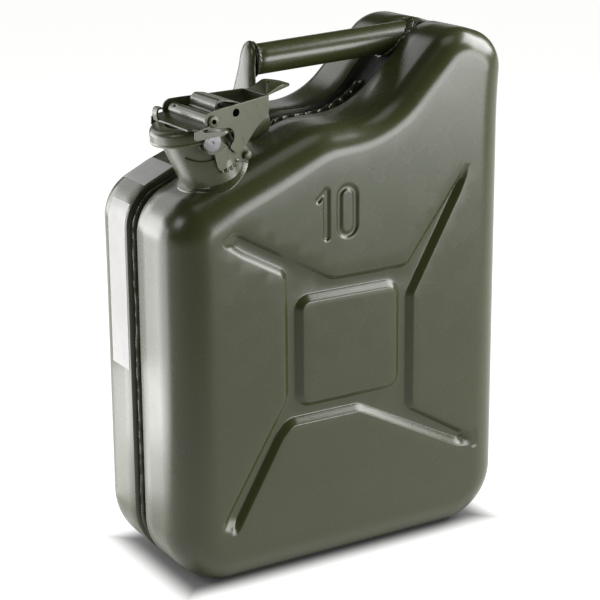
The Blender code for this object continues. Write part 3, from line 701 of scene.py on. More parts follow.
    def shell(self, side: Side, hole: "Closure | None") -> Piece:
        """One pressed half as a closed skin: inner face, lip, channel, rounding and broad face.

        Args:
            side: the half that it belongs to.
            hole: the closure whose neck opens this half, if one does.

        Returns:
            The linked object.
        """
        outer = self.placed_rows(*self.outer_rows())
        inner = self.placed_rows(*self.inner_rows())
        rings = np.concatenate([self.back_rings(inner[-1], 4)[::-1], inner[::-1], outer])
        face, triangles = self.face(outer[-1][:, [0, 2]], side)
        rows, columns, _ = rings.shape
        pole = rings[:1].mean(axis=1)
        pole[:, [0, 2]] = self.middle
        points = np.concatenate([rings.reshape(-1, 3), pole, face]) * np.array([1.0, side.value, 1.0])
        c = np.arange(columns)
        fans = np.stack([np.roll(c, -1), c, np.full(columns, rows * columns)], axis=1).tolist()
        fans += (triangles + rows * columns + 1).tolist()
        # Painted shade weight: it grows with depth into the seam channel on the lip and wall rows, and is
        # zero elsewhere.
        _, inset = self.outer_rows()
        inset[self.wall_rows + 1:] = 0.0
        recess = np.zeros(len(points))
        start = (len(rings) - len(outer)) * columns
        recess[start:start + inset.size] = smoothstep(inset.ravel() / self.seat_depth - 0.25)
        bm = bmesh.new()
        add_mesh(bm, points, grid_faces(rows, columns), fans, recess)
        bmesh.ops.remove_doubles(bm, verts=bm.verts, dist=2e-6)
        if hole is not None:
            hole.open_shoulder(bm)
        return finish_mesh(bm, f"pressed_half_{side.label}", 60.0)

    def drop(self, y: Array, edge: Array) -> Array:
        """How far the rounding has dropped at depths y: edge - sqrt(edge^2 - over^2)."""
        over = np.maximum(np.abs(y) - (self.half_depth - edge), 0.0)
        return edge - np.sqrt(np.maximum(edge ** 2 - over ** 2, 0.0))

    def lifted(self, distance: Array, y: Array, lift: float) -> Array:
        """Points above the outer skin at distances along the outline and depths y.

        Args:
            distance: distances along the outline.
            y: depths.
            lift: height above the skin.

        Returns:
            (n, 3) points.
        """
        here = self.outline.at(distance)
        place = here.point + here.inward * (self.drop(y, here.edge) - lift)[:, None]
        return np.stack([place[:, 0], y, place[:, 1]], axis=1)

    def bead(self, name: str, start: float, stop: float, lumpy: bool) -> Piece:
        """Welded ridge that stands on the channel's floor, nearly as high as the sides.

        Its section is a half ellipse. Width and height ripple along the length, and a lumpy bead
        also swells every few millimetres where the weld was laid in spots.

        Args:
            name: piece name.
            start: where it begins along the outline.
            stop: where it ends.
            lumpy: whether it was laid in spots.

        Returns:
            The linked object.
        """
        spacing, fade, pitch = 0.8, 4.0, 9.5
        span = (stop - start) % self.outline.total
        s = np.linspace(0.0, span, max(int(span / spacing), 24))
        here = self.outline.at(start + s)
        taper = smoothstep(s / fade) * smoothstep((span - s) / fade)
        ripple = 0.95 + 0.05 * np.sin(2.0 * np.pi * s / 2.5 + 0.8 * wobble(s, (0.31, 0.83)))
        swell = np.exp(-((np.mod(s, pitch) - 4.7) / 2.1) ** 2) if lumpy else np.zeros_like(s)
        wide = (1.35 + 0.25 * wobble(s, (0.23, 0.57)) + 1.6 * swell) * (0.35 + 0.65 * taper)
        tall = (4.5 * ripple + 0.4 * swell) * (0.25 + 0.75 * taper)
        centre = 1.1 * wobble(s, (0.11, 0.29, 0.07))
        a = np.linspace(0.0, np.pi, 11)
        y = centre[:, None] + wide[:, None] * np.cos(a)
        depth = self.channel_depth - 0.2 - tall[:, None] * np.sin(a)
        place = here.point[:, None] + here.inward[:, None] * depth[..., None]
        rings = np.stack([place[..., 0], y, place[..., 1]], axis=-1)
        return ring_object(name, rings)

    def sticker(self, name: str, start: float, stop: float, y0: float, y1: float) -> Piece:
        """Plain paper label that follows the skin: a thin sheet between two offsets of it.

        Args:
            name: piece name.
            start: one end along the outline.
            stop: the other end.
            y0: near edge.
            y1: far edge.

        Returns:
            The linked object.
        """
        rows, columns, lift, thickness = 40, 24, 0.04, 0.12
        s, y = np.meshgrid(np.linspace(start, stop, rows), np.linspace(y0, y1, columns), indexing="ij")
        top = self.lifted(s.ravel(), y.ravel(), lift + thickness)
        low = self.lifted(s.ravel(), y.ravel(), lift)
        index = np.arange(rows * columns).reshape(rows, columns)
        quads = np.stack([index[:-1, :-1], index[1:, :-1], index[1:, 1:], index[:-1, 1:]], axis=-1)
        quads = quads.reshape(-1, 4)
        border = np.concatenate([index[:-1, 0], index[-1, :-1], index[:0:-1, -1], index[0, :0:-1]])
        beyond = np.roll(border, -1)
        rim = np.stack([border, beyond, beyond + len(top), border + len(top)], axis=1)
        bm = bmesh.new()
        add_mesh(bm, np.concatenate([top, low]), np.concatenate([quads, quads[:, ::-1] + len(top), rim]), [])
        return finish_mesh(bm, name, 30.0)


@dataclass
class Handle:
    """Tube across the saddle, its front bracket and its two welds."""

    body: Body
    radius: float = 10.75
    front: Pair = (-41.5, 358.1)
    slope: float = math.radians(3.0)
    lean: float = math.radians(7.5)
    post_half: float = 9.8
    post_crown: float = 13.6
    foot_half: float = 17.0
    deepen: float = 12.0
    count: int = 112

    def spokes(self) -> tuple[Array, Array, Array]:
        """Angles round the tube, unit spokes and the direction along it.

        Returns:
            The angles, the spokes and the direction.
        """
        a = np.linspace(0.0, 2.0 * np.pi, self.count, endpoint=False)
        up = np.array([-math.sin(self.slope), 0.0, math.cos(self.slope)])
        spoke = np.cos(a)[:, None] * np.array([0.0, 1.0, 0.0]) + np.sin(a)[:, None] * up
        return a, spoke, np.array([math.cos(self.slope), 0.0, math.sin(self.slope)])

    def start(self) -> Array:
        """Middle of the tube's front end."""
        return np.array([self.front[0], 0.0, self.front[1]])

    def reach(self, rim: Array, along: Array, extra: float) -> Array:
        """Distance from points on the tube to the hump's front slope, moved inwards by extra.

        Args:
            rim: points on the tube.
            along: direction of the tube.
            extra: how far in the slope is moved.

        Returns:
            A distance for each point.
        """
        b, a = self.body.corners()[2:4, :2]
        unit = (b - a) / np.linalg.norm(b - a)
        normal = np.array([unit[1], 0.0, -unit[0]])
        point = np.array([a[0], 0.0, a[1]]) + normal * extra
        return (point - rim) @ normal / float(along @ normal)

    def tube(self) -> Piece:
        """Round tube with a square front end; its rear end is cut along the hump's slope.

        Returns:
            The linked object.
        """
        _, spoke, along = self.spokes()
        rim = self.start() + spoke * self.radius
        far = self.reach(rim, along, self.body.seat_depth)
        rows = [self.start() + spoke * (self.radius - 1.0)]
        rows += [rim + along * (1.0 + (far[:, None] - 1.0) * t) for t in np.linspace(0.0, 1.0, 16)]
        return ring_object("carrying_tube", np.array(rows))

    def weld(self, name: str, rear: bool) -> Piece:
        """Fillet weld round the tube: a rounded section whose size varies round the ring.

        Args:
            name: piece name.
            rear: whether it is the weld at the hump.

        Returns:
            The linked object.
        """
        angle, spoke, along = self.spokes()
        size = 1.0 + 0.22 * wobble(angle * 3.0, (1.0, 3.0, 7.0)) + 0.03 * np.sin(angle * 23.0)
        section = np.array([(0.05, 0.0), (2.3, 0.0), (2.3, -0.9), (1.7, -2.1), (0.8, -3.1), (0.05, -3.6)])
        section = rounded_path(section, np.array([0.0, 0.5, 0.9, 1.2, 1.0, 0.0]), 3)
        rings = []
        for radial, back in section:
            rim = self.start() + spoke * (self.radius + radial * size)[:, None]
            if rear:
                shift = self.reach(rim, along, self.body.seat_depth) + back * size
            else:
                lean = self.radius * np.sin(angle) * math.tan(self.lean)
                shift = lean + 0.2 - 0.8 * back * size
            rings.append(rim + along * shift[:, None])
        return ring_object(name, np.array(rings).transpose(1, 0, 2), closed=True, sharp=70.0)

    def bracket_loop(self, grow: float, depth: float, deepen: float) -> Array:
        """Loop of the bracket: half an ellipse over the tube, flaring sides and a slanted foot.

        Args:
            grow: outward offset of the loop.
            depth: distance behind the front face.
            deepen: further distance behind it at the foot.

        Returns:
            Points of a closed loop.
        """
        axis = self.front[1]
        half, wide = self.post_half + grow, self.foot_half + grow
        a = np.linspace(0.0, np.pi, 48)
        arch = np.stack([half * np.cos(a), axis + (self.post_crown + grow) * np.sin(a)], axis=1)
        z = np.linspace(axis - 1.5, 326.0, 22)
        width = half + (wide - half) * smoothstep((axis - z) / 38.0) ** 0.8
        left = np.stack([-width, z], axis=1)
        foot = self.foot_heights(wide, grow, depth, deepen)
        down = np.stack([np.full(4, -wide), np.linspace(326.0, foot[0], 6)[1:-1]], axis=1)
        across = np.stack([np.linspace(-wide, wide, 16), foot], axis=1)
        side = np.concatenate([left, down])
        loop = np.concatenate([arch, side, across, side[::-1] * np.array([-1.0, 1.0])])
        return self.bracket_place(loop[:, 0], loop[:, 1], depth, deepen)

    def bracket_place(self, y: Array, z: Array, depth: float, deepen: float) -> Array:
        """Points of the leaning bracket; its rim reaches further back towards the foot.

        Args:
            y: depths.
            z: heights.
            depth: distance behind the front face.
            deepen: further distance behind it at the foot.

        Returns:
            (n, 3) points.
        """
        low = smoothstep((344.0 - z) / 28.0)
        x = self.front[0] - GAP + depth + (z - self.front[1]) * math.tan(self.lean) + deepen * low
        return np.stack([x, y, z], axis=1)

    def foot_heights(self, wide: float, grow: float, depth: float, deepen: float) -> Array:
        """Heights of the foot's edge, where the leaning bracket meets the shoulder.

        Args:
            wide: half width of the foot.
            grow: outward offset of the loop.
            depth: distance behind the front face.
            deepen: further distance behind it at the foot.

        Returns:
            Heights across the foot.
        """
        outline = self.body.outline
        xs, zs = outline.point[outline.upper(285.0, 0.0, math.inf)].T
        y = np.linspace(-wide, wide, 16)
        z = np.full(16, 312.0)
        for _ in range(6):
            x = self.bracket_place(y, z, depth, deepen)[:, 0]
            z = np.interp(x, xs, zs) + 0.15 - grow
        return z

    def post(self) -> Piece:
        """Front bracket: hollow back, turned rim and a front that swells in a low dome.

        Returns:
            The linked object.
        """
        stations = [(-2.0, -2.0, 0.0), (-1.8, -1.4, self.deepen), (-1.5, -0.9, self.deepen),
                    (-0.8, -0.7, self.deepen), (-0.2, -0.9, self.deepen), (0.0, -1.3, self.deepen),
                    (0.0, -1.6, 0.0), (-0.2, -2.4, 0.0), (-0.8, -3.2, 0.0), (-1.7, -3.8, 0.0),
                    (-3.0, -4.3, 0.0), (-4.6, -4.7, 0.0), (-6.4, -5.0, 0.0), (-8.4, -5.2, 0.0)]
        rings = np.array([self.bracket_loop(*station) for station in stations])
        return ring_object("tube_bracket", rings, sharp=60.0)


@dataclass
class Closure:
    """Neck, cap, bracket and locking lever, all placed about the plane y = middle."""

    body: Body
    middle: float = -31.0
    neck_base: Pair = (-89.2, 291.8)
    neck_tilt: float = math.radians(21.0)
    cap_base: Pair = (-104.6, 320.9)
    cap_tilt: float = math.radians(11.5)
    neck_radius: float = 22.6
    cap_radius: float = 28.0
    crown: float = 8.0
    skirt: float = 2.2
    pivot: Pair = (-104.0, 332.0)
    hinge: Pair = (-73.4, 304.5)
    stud: Pair = (-104.6, 318.2)
    lock: Pair = (-83.4, 334.6)
    sheet: float = 1.4
    count: int = 144

    def section(self, t: Array, radius: Array, lift: Array, angle: Array) -> Array:
        """Points of the leaning neck.

        The section's middle moves in a straight line from the shoulder (t = 0) to the cap's rim
        (t = 1) while its tilt changes evenly; a point is middle + radius * spoke + lift * axis.

        Args:
            t: place along the neck.
            radius: distance from its middle.
            lift: height along its axis.
            angle: angle round it.

        Returns:
            Points in the common shape of the four.
        """
        t, radius, lift, angle = np.broadcast_arrays(t, radius, lift, angle)
        x = self.neck_base[0] + (self.cap_base[0] - self.neck_base[0]) * t
        z = self.neck_base[1] + (self.cap_base[1] - self.neck_base[1]) * t
        tilt = self.neck_tilt + (self.cap_tilt - self.neck_tilt) * np.clip(t, 0.0, 1.0)
        out = radius * np.cos(angle)
        return np.stack([x + out * np.cos(tilt) - lift * np.sin(tilt),
                         self.middle + radius * np.sin(angle),
                         z + out * np.sin(tilt) + lift * np.cos(tilt)], axis=-1)

    def around(self, count: int | None = None) -> Array:
        """Angles round the spout's axis."""
        return np.linspace(0.0, 2.0 * np.pi, count or self.count, endpoint=False)

    def turned(self, name: str, profile: Array, closed: bool = True, sharp: float = 50.0) -> Piece:
        """Profile of (radius, height) turned about the cap's axis, height from the cap's rim."""
        rings = self.section(np.ones(1), profile[:, :1], profile[:, 1:], self.around()[None])
        return ring_object(name, rings, closed, sharp)

    def open_shoulder(self, bm: bmesh.types.BMesh) -> None:
        """Cut the neck's hole through both faces of the sheet and join the two edges.

        Args:
            bm: mesh of the half that carries the neck, changed in place.
        """
        co = np.array([v.co for v in bm.verts]) / MM
        tilt = self.neck_tilt
        axis = np.array([-math.sin(tilt), 0.0, math.cos(tilt)])
        base = np.array([self.neck_base[0], self.middle, self.neck_base[1]])
        away = co - base
        flat = away - np.outer(away @ axis, axis)
        rho = np.linalg.norm(flat, axis=1)
        hole = self.neck_radius + 0.9
        inside = (rho < hole) & (co[:, 2] > 260.0)
        doomed = [f for f in bm.faces if all(inside[v.index] for v in f.verts)]
        bmesh.ops.delete(bm, geom=doomed, context="FACES")
        edges = [e for e in bm.edges if e.is_boundary]
        for vert in {v for e in edges for v in e.verts}:
            spot = np.array(vert.co) / MM - base
            height = float(spot @ axis)
            spoke = spot - axis * height
            moved = base + axis * height + spoke / np.linalg.norm(spoke) * hole
            vert.co = Vector(moved * MM)
        bmesh.ops.bridge_loops(bm, edges=edges)

    def neck(self) -> Piece:
        """Leaning tube with a rolled lip.

        Returns:
            The linked object.
        """
        wall, lip = 1.2, 0.8
        r = self.neck_radius
        stations = [(-0.13, r, 0.0)] + [(t, r, 0.0) for t in np.linspace(0.0, 0.9, 14)]
        stations += [(0.96, r + 0.15, 0.0), (1.0, r + lip * 0.7, -0.8), (1.0, r + lip, -0.2),
                     (1.0, r + lip, 0.5), (1.0, r + lip * 0.7, 1.2), (1.0, r, 1.6), (1.0, r - wall, 1.3),
                     (1.0, r - wall - 0.2, 0.6), (0.9, r - wall, 0.0), (0.5, r - wall, 0.0),
                     (-0.13, r - wall, 0.0)]
        s = np.array(stations)
        rings = self.section(s[:, :1], s[:, 1:2], s[:, 2:], self.around()[None])
        return ring_object("spout_neck", rings, closed=True)

    def shoulder_height(self, x: Array, y: Array) -> Array:
        """Height of the skin under points near the spout.

        Args:
            x: places along the can.
            y: depths.

        Returns:
            n heights.
        """
        outline = self.body.outline
        order = outline.upper(255.0, 0.1, 40.0)
        xs, zs = outline.point[order].T
        drop = self.body.drop(y, np.interp(x, xs, outline.edge[order]))
        return np.interp(x, xs, zs) - drop * np.hypot(1.0, np.interp(x, xs, np.gradient(zs, xs)))

    def neck_weld(self) -> Piece:
        """Weld round the neck's foot: a rounded section that follows the shoulder, with ripples.

        Returns:
            The linked object.
        """
        angle = self.around(220)
        size = 1.0 + 0.10 * wobble(angle * 2.0, (1.0, 2.0, 5.0)) + 0.02 * np.sin(angle * 61.0)
        section = rounded_path(np.array([(0.0, -0.6), (3.3, -0.6), (2.8, 0.6), (1.5, 1.7), (0.0, 2.7)]),
                               np.array([0.0, 0.6, 1.2, 1.6, 0.0]), 3)
        rings = []
        for out, lift in section:
            radius = self.neck_radius - 0.1 + out * size
            point = self.section(np.zeros(1), radius, np.zeros(1), angle)
            height = self.shoulder_height(point[:, 0], point[:, 1]) + lift * size
            t = (height - self.neck_base[1]) / (self.cap_base[1] - self.neck_base[1])
            shift = np.where(out < 2.0, t, 0.0) * (self.cap_base[0] - self.neck_base[0]) * 0.5
            rings.append(np.stack([point[:, 0] + shift, point[:, 1], height], axis=1))
        return ring_object("neck_foot_weld", np.array(rings).transpose(1, 0, 2), closed=True, sharp=70.0)

    def saddle(self, side: Side) -> Piece:
        """Reinforcing plate wrapped on the neck under an ear; its top edge dips in the middle.

        Args:
            side: the half that it belongs to.

        Returns:
            The linked object.
        """
        a = np.radians(np.linspace(-142.0, -62.0, 40)) * -side.value
        u = np.linspace(-1.0, 1.0, 40)
        low = np.full(40, 0.12)
        high = 0.50 + 0.17 * u ** 2
        rings = []
        for radius, edge in ((0.1, low), (1.3, low), (1.3, 0.5 * (low + high)), (1.3, high - 0.02),
                             (1.1, high), (0.1, high)):
            rings.append(self.section(edge, self.neck_radius + radius, np.zeros(1), a))
        return ring_object(f"neck_saddle_{side.label}", np.array(rings).transpose(1, 0, 2), sharp=40.0)

    def cap(self) -> Piece:
        """Pressed cap: nearly flat top, well rounded edge, straight skirt with a curled rim.

        Returns:
            The linked object.
        """
        r, top, low = self.cap_radius, self.crown, -self.skirt
        corners = np.array([(0.4, top - 1.2), (r - 14.0, top - 1.1), (r - 10.0, top), (r - 0.5, top),
                            (r - 0.1, low + 2.2), (r + 0.35, low + 1.2), (r + 0.1, low), (r - 1.9, low),
                            (r - 1.8, 4.1), (r - 3.6, 4.1), (0.4, 4.1)])
        radii = np.array([0.0, 6.0, 6.0, 5.4, 1.2, 0.7, 0.6, 0.5, 0.8, 0.6, 0.0])
        return self.turned("cap_shell", rounded_path(corners, radii, 6, closed=False), closed=False)

    def gasket(self) -> Piece:
        """Flat rubber ring under the cap.

        Returns:
            The linked object.
        """
        top = 4.1 - GAP
        corners = np.array([(18.5, top - 1.6), (24.0, top - 1.6), (24.0, top), (18.5, top)])
        return self.turned("cap_seal_ring", rounded_path(corners, np.full(4, 0.4), 3))

    def retainer(self) -> Piece:
        """Dished plate that holds the gasket.

        Returns:
            The linked object.
        """
        top = 4.1 - GAP
        corners = np.array([(0.4, top), (18.0, top), (18.0, top - 1.8), (16.4, top - 2.6), (4.0, top - 1.2),
                            (0.4, top - 1.2)])
        profile = rounded_path(corners, np.full(6, 0.4), 3, closed=False)
        return self.turned("seal_plate", profile, closed=False)

    def bar(self, name: str, centre: Pair, profile: Array, count: int = 56) -> Piece:
        """Round piece along Y: a profile of (radius, y from the middle plane) turned once round."""
        hollow = bool(profile[0, 0] > 1.0)
        return ring_object(name, self.bar_rings(centre, profile, count), closed=hollow, sharp=45.0)

    def bar_rings(self, centre: Pair, profile: Array, count: int) -> Array:
        """Rings of a piece turned about a line along Y.

        Args:
            centre: the line's X and Z.
            profile: (radius, y) rows.
            count: points in a ring.

        Returns:
            A ring for each row.
        """
        ring = circle(0.0, 0.0, 1.0, count)
        return np.stack([centre[0] + profile[:, :1] * ring[:, 0],
                         self.middle + profile[:, 1:] * np.ones(count),
                         centre[1] + profile[:, :1] * ring[:, 1]], axis=-1)

    @staticmethod
    def cheek_half(x: Array) -> Array:
        """Half width over the lever's outer faces, which close in towards the tab."""
        return 30.0 - (x + 108.0) * 0.26

    def rivet(self) -> Piece:
        """Hollow rivet with rolled heads on both cheeks.

        Returns:
            The linked object.
        """
        face = float(self.cheek_half(np.array(self.pivot[0] - 3.8))) + 0.1
        corners = np.array([(1.5, -face - 1.4), (3.9, -face - 0.9), (3.9, -face), (2.5, -face), (2.5, face),
                            (3.9, face), (3.9, face + 0.9), (1.5, face + 1.4)])
        profile = rounded_path(corners, np.array([0.4, 0.7, 0.0, 0.0, 0.0, 0.0, 0.7, 0.4]), 4)
        return self.bar("pivot_rivet", self.pivot, profile)

    def ear_half(self, x: Array) -> Array:
        """Half width over the outer faces of the neck's ears, just inside the lever's cheeks."""
        return self.cheek_half(x) - self.sheet - 0.5

    def side_stud(self, side: Side) -> Piece:
        """Round plated head with a small centre mark.

        Args:
            side: the half that it belongs to.

        Returns:
            The linked object.
        """
        head = float(self.ear_half(np.array(self.stud[0] - 6.3))) + GAP
        corners = np.array([(0.05, head - 2.0), (1.7, head - 2.0), (1.7, head), (6.3, head),
                            (6.3, head + 0.8), (1.0, head + 0.95), (0.5, head + 0.6), (0.05, head + 0.6)])
        profile = rounded_path(corners, np.array([0.0, 0.0, 0.0, 0.2, 0.4, 0.2, 0.2, 0.0]), 4, closed=False)
        profile[:, 1] *= side.value
        return self.bar(f"side_head_{side.label}", self.stud, profile)

    def hinge_pin(self, side: Side) -> Piece:
        """Pin through an ear and a bracket arm with a domed head outside.

        Args:
            side: the half that it belongs to.

        Returns:
            The linked object.
        """
        face = float(self.ear_half(np.array(self.hinge[0] - 3.1))) + 0.15
        corners = np.array([(0.05, 14.4), (1.6, 14.4), (2.0, 14.9), (2.0, face), (3.1, face),
                            (2.9, face + 0.9), (1.6, face + 1.5), (0.05, face + 1.6)])
        profile = rounded_path(corners, np.array([0.0, 0.3, 0.2, 0.0, 0.2, 0.6, 0.8, 0.0]), 4, closed=False)
        profile[:, 1] *= side.value
        return self.bar(f"hinge_head_{side.label}", self.hinge, profile)


@dataclass
class SheetMetal:
    """Builder of flat, bent and folded sheet parts with softened edges."""

    soften: float = 0.32

    def plate(self, name: str, outline: Array, holes: list[Array], top: Place, low: Place) -> Piece:
        """Sheet between two placings of one outline.

        Args:
            name: piece name.
            outline: (n, 2) loop.
            holes: loops of the holes.
            top: function from (n, 2) to the points of one face, in millimetres.
            low: the same for the other face.

        Returns:
            The linked object, its sharp edges bevelled.
        """
        loops = [outline, *holes]
        flat = [[Vector((float(u), float(v), 0.0)) for u, v in loop] for loop in loops]
        triangles = np.array(tessellate_polygon(flat), dtype=np.int64)
        pairs = np.concatenate(loops)
        count = len(pairs)
        points = np.concatenate([top(pairs), low(pairs)])
        walls, start = [], 0
        for loop in loops:
            here = start + np.arange(len(loop))
            beyond = start + (np.arange(len(loop)) + 1) % len(loop)
            walls.append(np.stack([here, beyond, beyond + count, here + count], axis=1))
            start += len(loop)
        faces = triangles.tolist() + (triangles[:, ::-1] + count).tolist()
        bm = bmesh.new()
        add_mesh(bm, points, np.concatenate(walls), faces)
        bmesh.ops.remove_doubles(bm, verts=bm.verts, dist=1e-7)
        bmesh.ops.dissolve_limit(bm, angle_limit=math.radians(0.5), verts=bm.verts, edges=bm.edges)
        return self.softened(finish_mesh(bm, name, 50.0), self.soften, 50.0, True)

    @staticmethod
    def softened(piece: Piece, width: float, angle: float, harden: bool) -> Piece:
        """Round a piece's edges that are steeper than an angle.

        Args:
            piece: the piece.
            width: width of the rounding.
            angle: the angle in degrees.
            harden: whether flat faces keep their own normals.

        Returns:
            The same piece.
        """
        edge = piece.modifiers.new("Softened edges", "BEVEL")
        edge.width = width * MM
        edge.segments = 2
        edge.limit_method = "ANGLE"
        edge.angle_limit = math.radians(angle)
        edge.harden_normals = harden
        return piece

    def upright(self, name: str, outline: Array, holes: list[Array], y0: Depth, y1: Depth) -> Piece:
        """Plate that stands in the side view between two depths, each a function of X.

        Args:
            name: piece name.
            outline: (n, 2) loop of X and Z.
            holes: loops of the holes.
            y0: depth of one face.
            y1: depth of the other.

        Returns:
            The linked object.
        """

        def place(depth: Depth) -> Place:
            """Points of the side view at that depth."""
            return lambda p: np.stack([p[:, 0], depth(p[:, 0]), p[:, 1]], axis=1)

        return self.plate(name, outline, holes, place(y0), place(y1))

    def level(self, name: str, outline: Array, holes: list[Array], y0: float, y1: float) -> Piece:
        """Plate that stands in the side view between two fixed depths.

        Args:
            name: piece name.
            outline: (n, 2) loop of X and Z.
            holes: loops of the holes.
            y0: depth of one face.
            y1: depth of the other.

        Returns:
            The linked object.
        """
        return self.upright(name, outline, holes,
                            lambda x: np.full_like(x, y0), lambda x: np.full_like(x, y1))

    def strip(self, name: str, path: Array, thickness: float, y0: float, y1: float) -> Piece:
        """Bent strip: a path of the side view, thickened by half to each side of its tangent.

        Args:
            name: piece name.
            path: (n, 2) points of X and Z.
            thickness: thickness of the sheet.
            y0: near edge.
            y1: far edge.

        Returns:
            The linked object.
        """
        along = np.gradient(path, axis=0)
        along /= np.linalg.norm(along, axis=1, keepdims=True)
        across = np.stack([-along[:, 1], along[:, 0]], axis=1) * thickness / 2.0
        loop = np.concatenate([path + across, (path - across)[::-1]])
        rings = np.stack([np.stack([loop[:, 0], np.full(len(loop), y), loop[:, 1]], axis=1)
                          for y in np.linspace(y0, y1, 5)])
        return self.softened(ring_object(name, rings, sharp=40.0), 0.25, 60.0, False)


@dataclass
class CapBracket:
    """Folded bracket on the cap: flap, sleeve, ribs, locking arch, side strips and hinge arms."""

    closure: Closure
    metal: SheetMetal = field(default_factory=SheetMetal)
    sleeve_radius: float = 4.3

    def on_cap(self, height: float, x: float) -> Pair:
        """Point of the side view at a height above the cap's rim.

        Args:
            height: height above the rim.
            x: the point's X.

        Returns:
            The point's X and Z.
        """
        c = self.closure
        cos, sin = math.cos(c.cap_tilt), math.sin(c.cap_tilt)
        start = (c.cap_base[0] - sin * height, c.cap_base[1] + cos * height)
        return x, start[1] + (x - start[0]) * sin / cos

    def flap(self) -> Piece:
        """Front flap that lies over the cap, wider at its front edge, with softened corners.

        Returns:
            The linked object.
        """
        c, rise, front = self.closure.middle, 0.205, (-119.7, 327.3)
        corners = np.array([(-119.9, -24.2), (-117.2, -25.6), (-114.5, -32.2), (-107.0, -32.2),
                            (-105.5, -26.0), (-104.6, -26.0), (-104.6, 26.0), (-105.5, 26.0), (-107.0, 32.2),
                            (-114.5, 32.2), (-117.2, 25.6), (-119.9, 24.2)])
        radii = np.array([0.8, 1.5, 2.0, 2.0, 1.5, 0.3, 0.3, 1.5, 2.0, 2.0, 1.5, 0.8])

        def face(lift: float) -> Place:
            """Slanting plane of one face, raised by a lift."""
            return lambda p: np.stack([p[:, 0], c + p[:, 1], front[1] + rise * (p[:, 0] - front[0]) + lift],
                                      axis=1)

        outline = rounded_path(corners, radii, 5)
        return self.metal.plate("bracket_flap", outline, [], face(0.0), face(-1.4))

    def corner_ear(self) -> Piece:
        """Small tongue turned up and curled over at the flap's far front corner.

        Returns:
            The linked object.
        """
        c = self.closure
        path = np.array([(-119.3, 326.0), (-120.9, 330.6), (-119.8, 334.8), (-116.2, 334.4)])
        curve = rounded_path(path, np.array([0.0, 4.0, 2.4, 0.0]), 8, closed=False)
        return self.metal.strip("flap_corner_ear", curve, 1.3, c.middle + 17.4, c.middle + 24.4)

    def sleeve(self) -> Piece:
        """Rolled tube round the lever's rivet, with a small oval dent near its far end.

        Returns:
            The linked object.
        """
        r = self.sleeve_radius
        along = np.arange(-25.0, 25.1, 0.5)
        corners = np.array([(2.85, -26.4), (r, -26.4), (r, 26.4), (2.85, 26.4)])
        profile = rounded_path(corners, np.array([0.2, 0.5, 0.5, 0.2]), 3)
        split = int(np.flatnonzero(profile[:, 1] > 0.0)[0])
        outside = np.stack([np.full(len(along), r), along], axis=1)
        profile = np.concatenate([profile[:split], outside, profile[split:]])
        rings = self.closure.bar_rings(self.closure.pivot, profile, 96)
        angle = np.linspace(0.0, 2.0 * np.pi, 96, endpoint=False)
        x, y, z = rings[..., 0], rings[..., 1], rings[..., 2]
        press = np.exp(-((y - self.closure.middle - 18.5) / 1.3) ** 2 - ((angle - 2.3) / 0.22) ** 2)
        press = 0.9 * press * (profile[:, :1] > self.sleeve_radius - 0.2)
        rings = np.stack([x - press * np.cos(angle), y, z - press * np.sin(angle)], axis=-1)
        return ring_object("bracket_sleeve", rings, closed=True, sharp=45.0)

    def arch(self) -> Piece:
        """Locking arch: a strip that rises from the cap, bends over and drops behind it.

        Returns:
            The linked object.
        """
        c = self.closure
        foot = c.crown + 0.5
        path = np.array([self.on_cap(foot, -102.0), self.on_cap(foot, -94.8), (-95.0, 343.0), (-86.0, 342.0),
                         (-75.4, 338.6), (-75.0, 320.0)])
        curve = rounded_path(path, np.array([0.0, 1.2, 8.5, 14.0, 4.5, 0.0]), 10, closed=False)
        return self.metal.strip("bracket_arch", curve, 1.4, c.middle - 17.5, c.middle + 18.0)

    def rib(self, index: int) -> Piece:
        """Small round rib on the bracket's floor.

        Args:
            index: 0 for the front rib, 1 for the rear one.

        Returns:
            The linked object.
        """
        x, z = ((-98.4, 333.2), (-95.9, 334.4))[index]
        profile = rounded_path(np.array([(0.05, -17.6), (1.25, -17.6), (1.25, 17.6), (0.05, 17.6)]),
                               np.array([0.0, 0.8, 0.8, 0.0]), 4, closed=False)
        return self.closure.bar(f"bracket_rib_{index + 1}", (x, z), profile, 24)

    def arm(self, side: Side) -> Piece:
        """Arm from the arch down to the hinge pin.

        Args:
            side: the half that it belongs to.

        Returns:
            The linked object.
        """
        h = self.closure.hinge
        a = np.radians(165.0 + 210.0 * np.linspace(0.0, 1.0, 18))
        eye = np.stack([h[0] + 3.3 * np.cos(a), h[1] + 3.3 * np.sin(a)], axis=1)
        front = np.array([(-75.6, 333.5), (-78.0, 328.0), (-77.4, 318.0), (-76.6, 309.0)])
        outline = np.concatenate([front, eye, np.array([(-72.4, 312.0), (-73.6, 331.0)])])
        y0, y1 = (self.closure.middle + side.value * half for half in (15.2, 16.4))
        return self.metal.level(f"bracket_arm_{side.label}", outline, [circle(*h, PIN_HOLE, 24)], y0, y1)

    def side_strip(self, side: Side) -> Piece:
        """Strip turned down beside the cap, narrowing to its rear end.

        Args:
            side: the half that it belongs to.

        Returns:
            The linked object.
        """
        outline = rounded_path(np.array([(-118.4, 327.1), (-118.8, 321.3), (-116.0, 320.9), (-95.4, 323.3),
                                         (-96.4, 325.2), (-112.0, 326.0), (-112.9, 328.6)]),
                               np.array([0.6, 1.4, 1.0, 0.9, 0.9, 1.2, 0.8]), 5)
        y0, y1 = (self.closure.middle + side.value * half for half in (31.0, 32.2))
        return self.metal.level(f"bracket_strip_{side.label}", outline, [], y0, y1)

    def pieces(self) -> list[Piece]:
        """Every piece of the bracket.

        Returns:
            The linked objects.
        """
        made = [self.flap(), self.corner_ear(), self.sleeve(), self.arch(), self.rib(0), self.rib(1)]
        for side in Side:
            made += [self.arm(side), self.side_strip(side)]
        return made


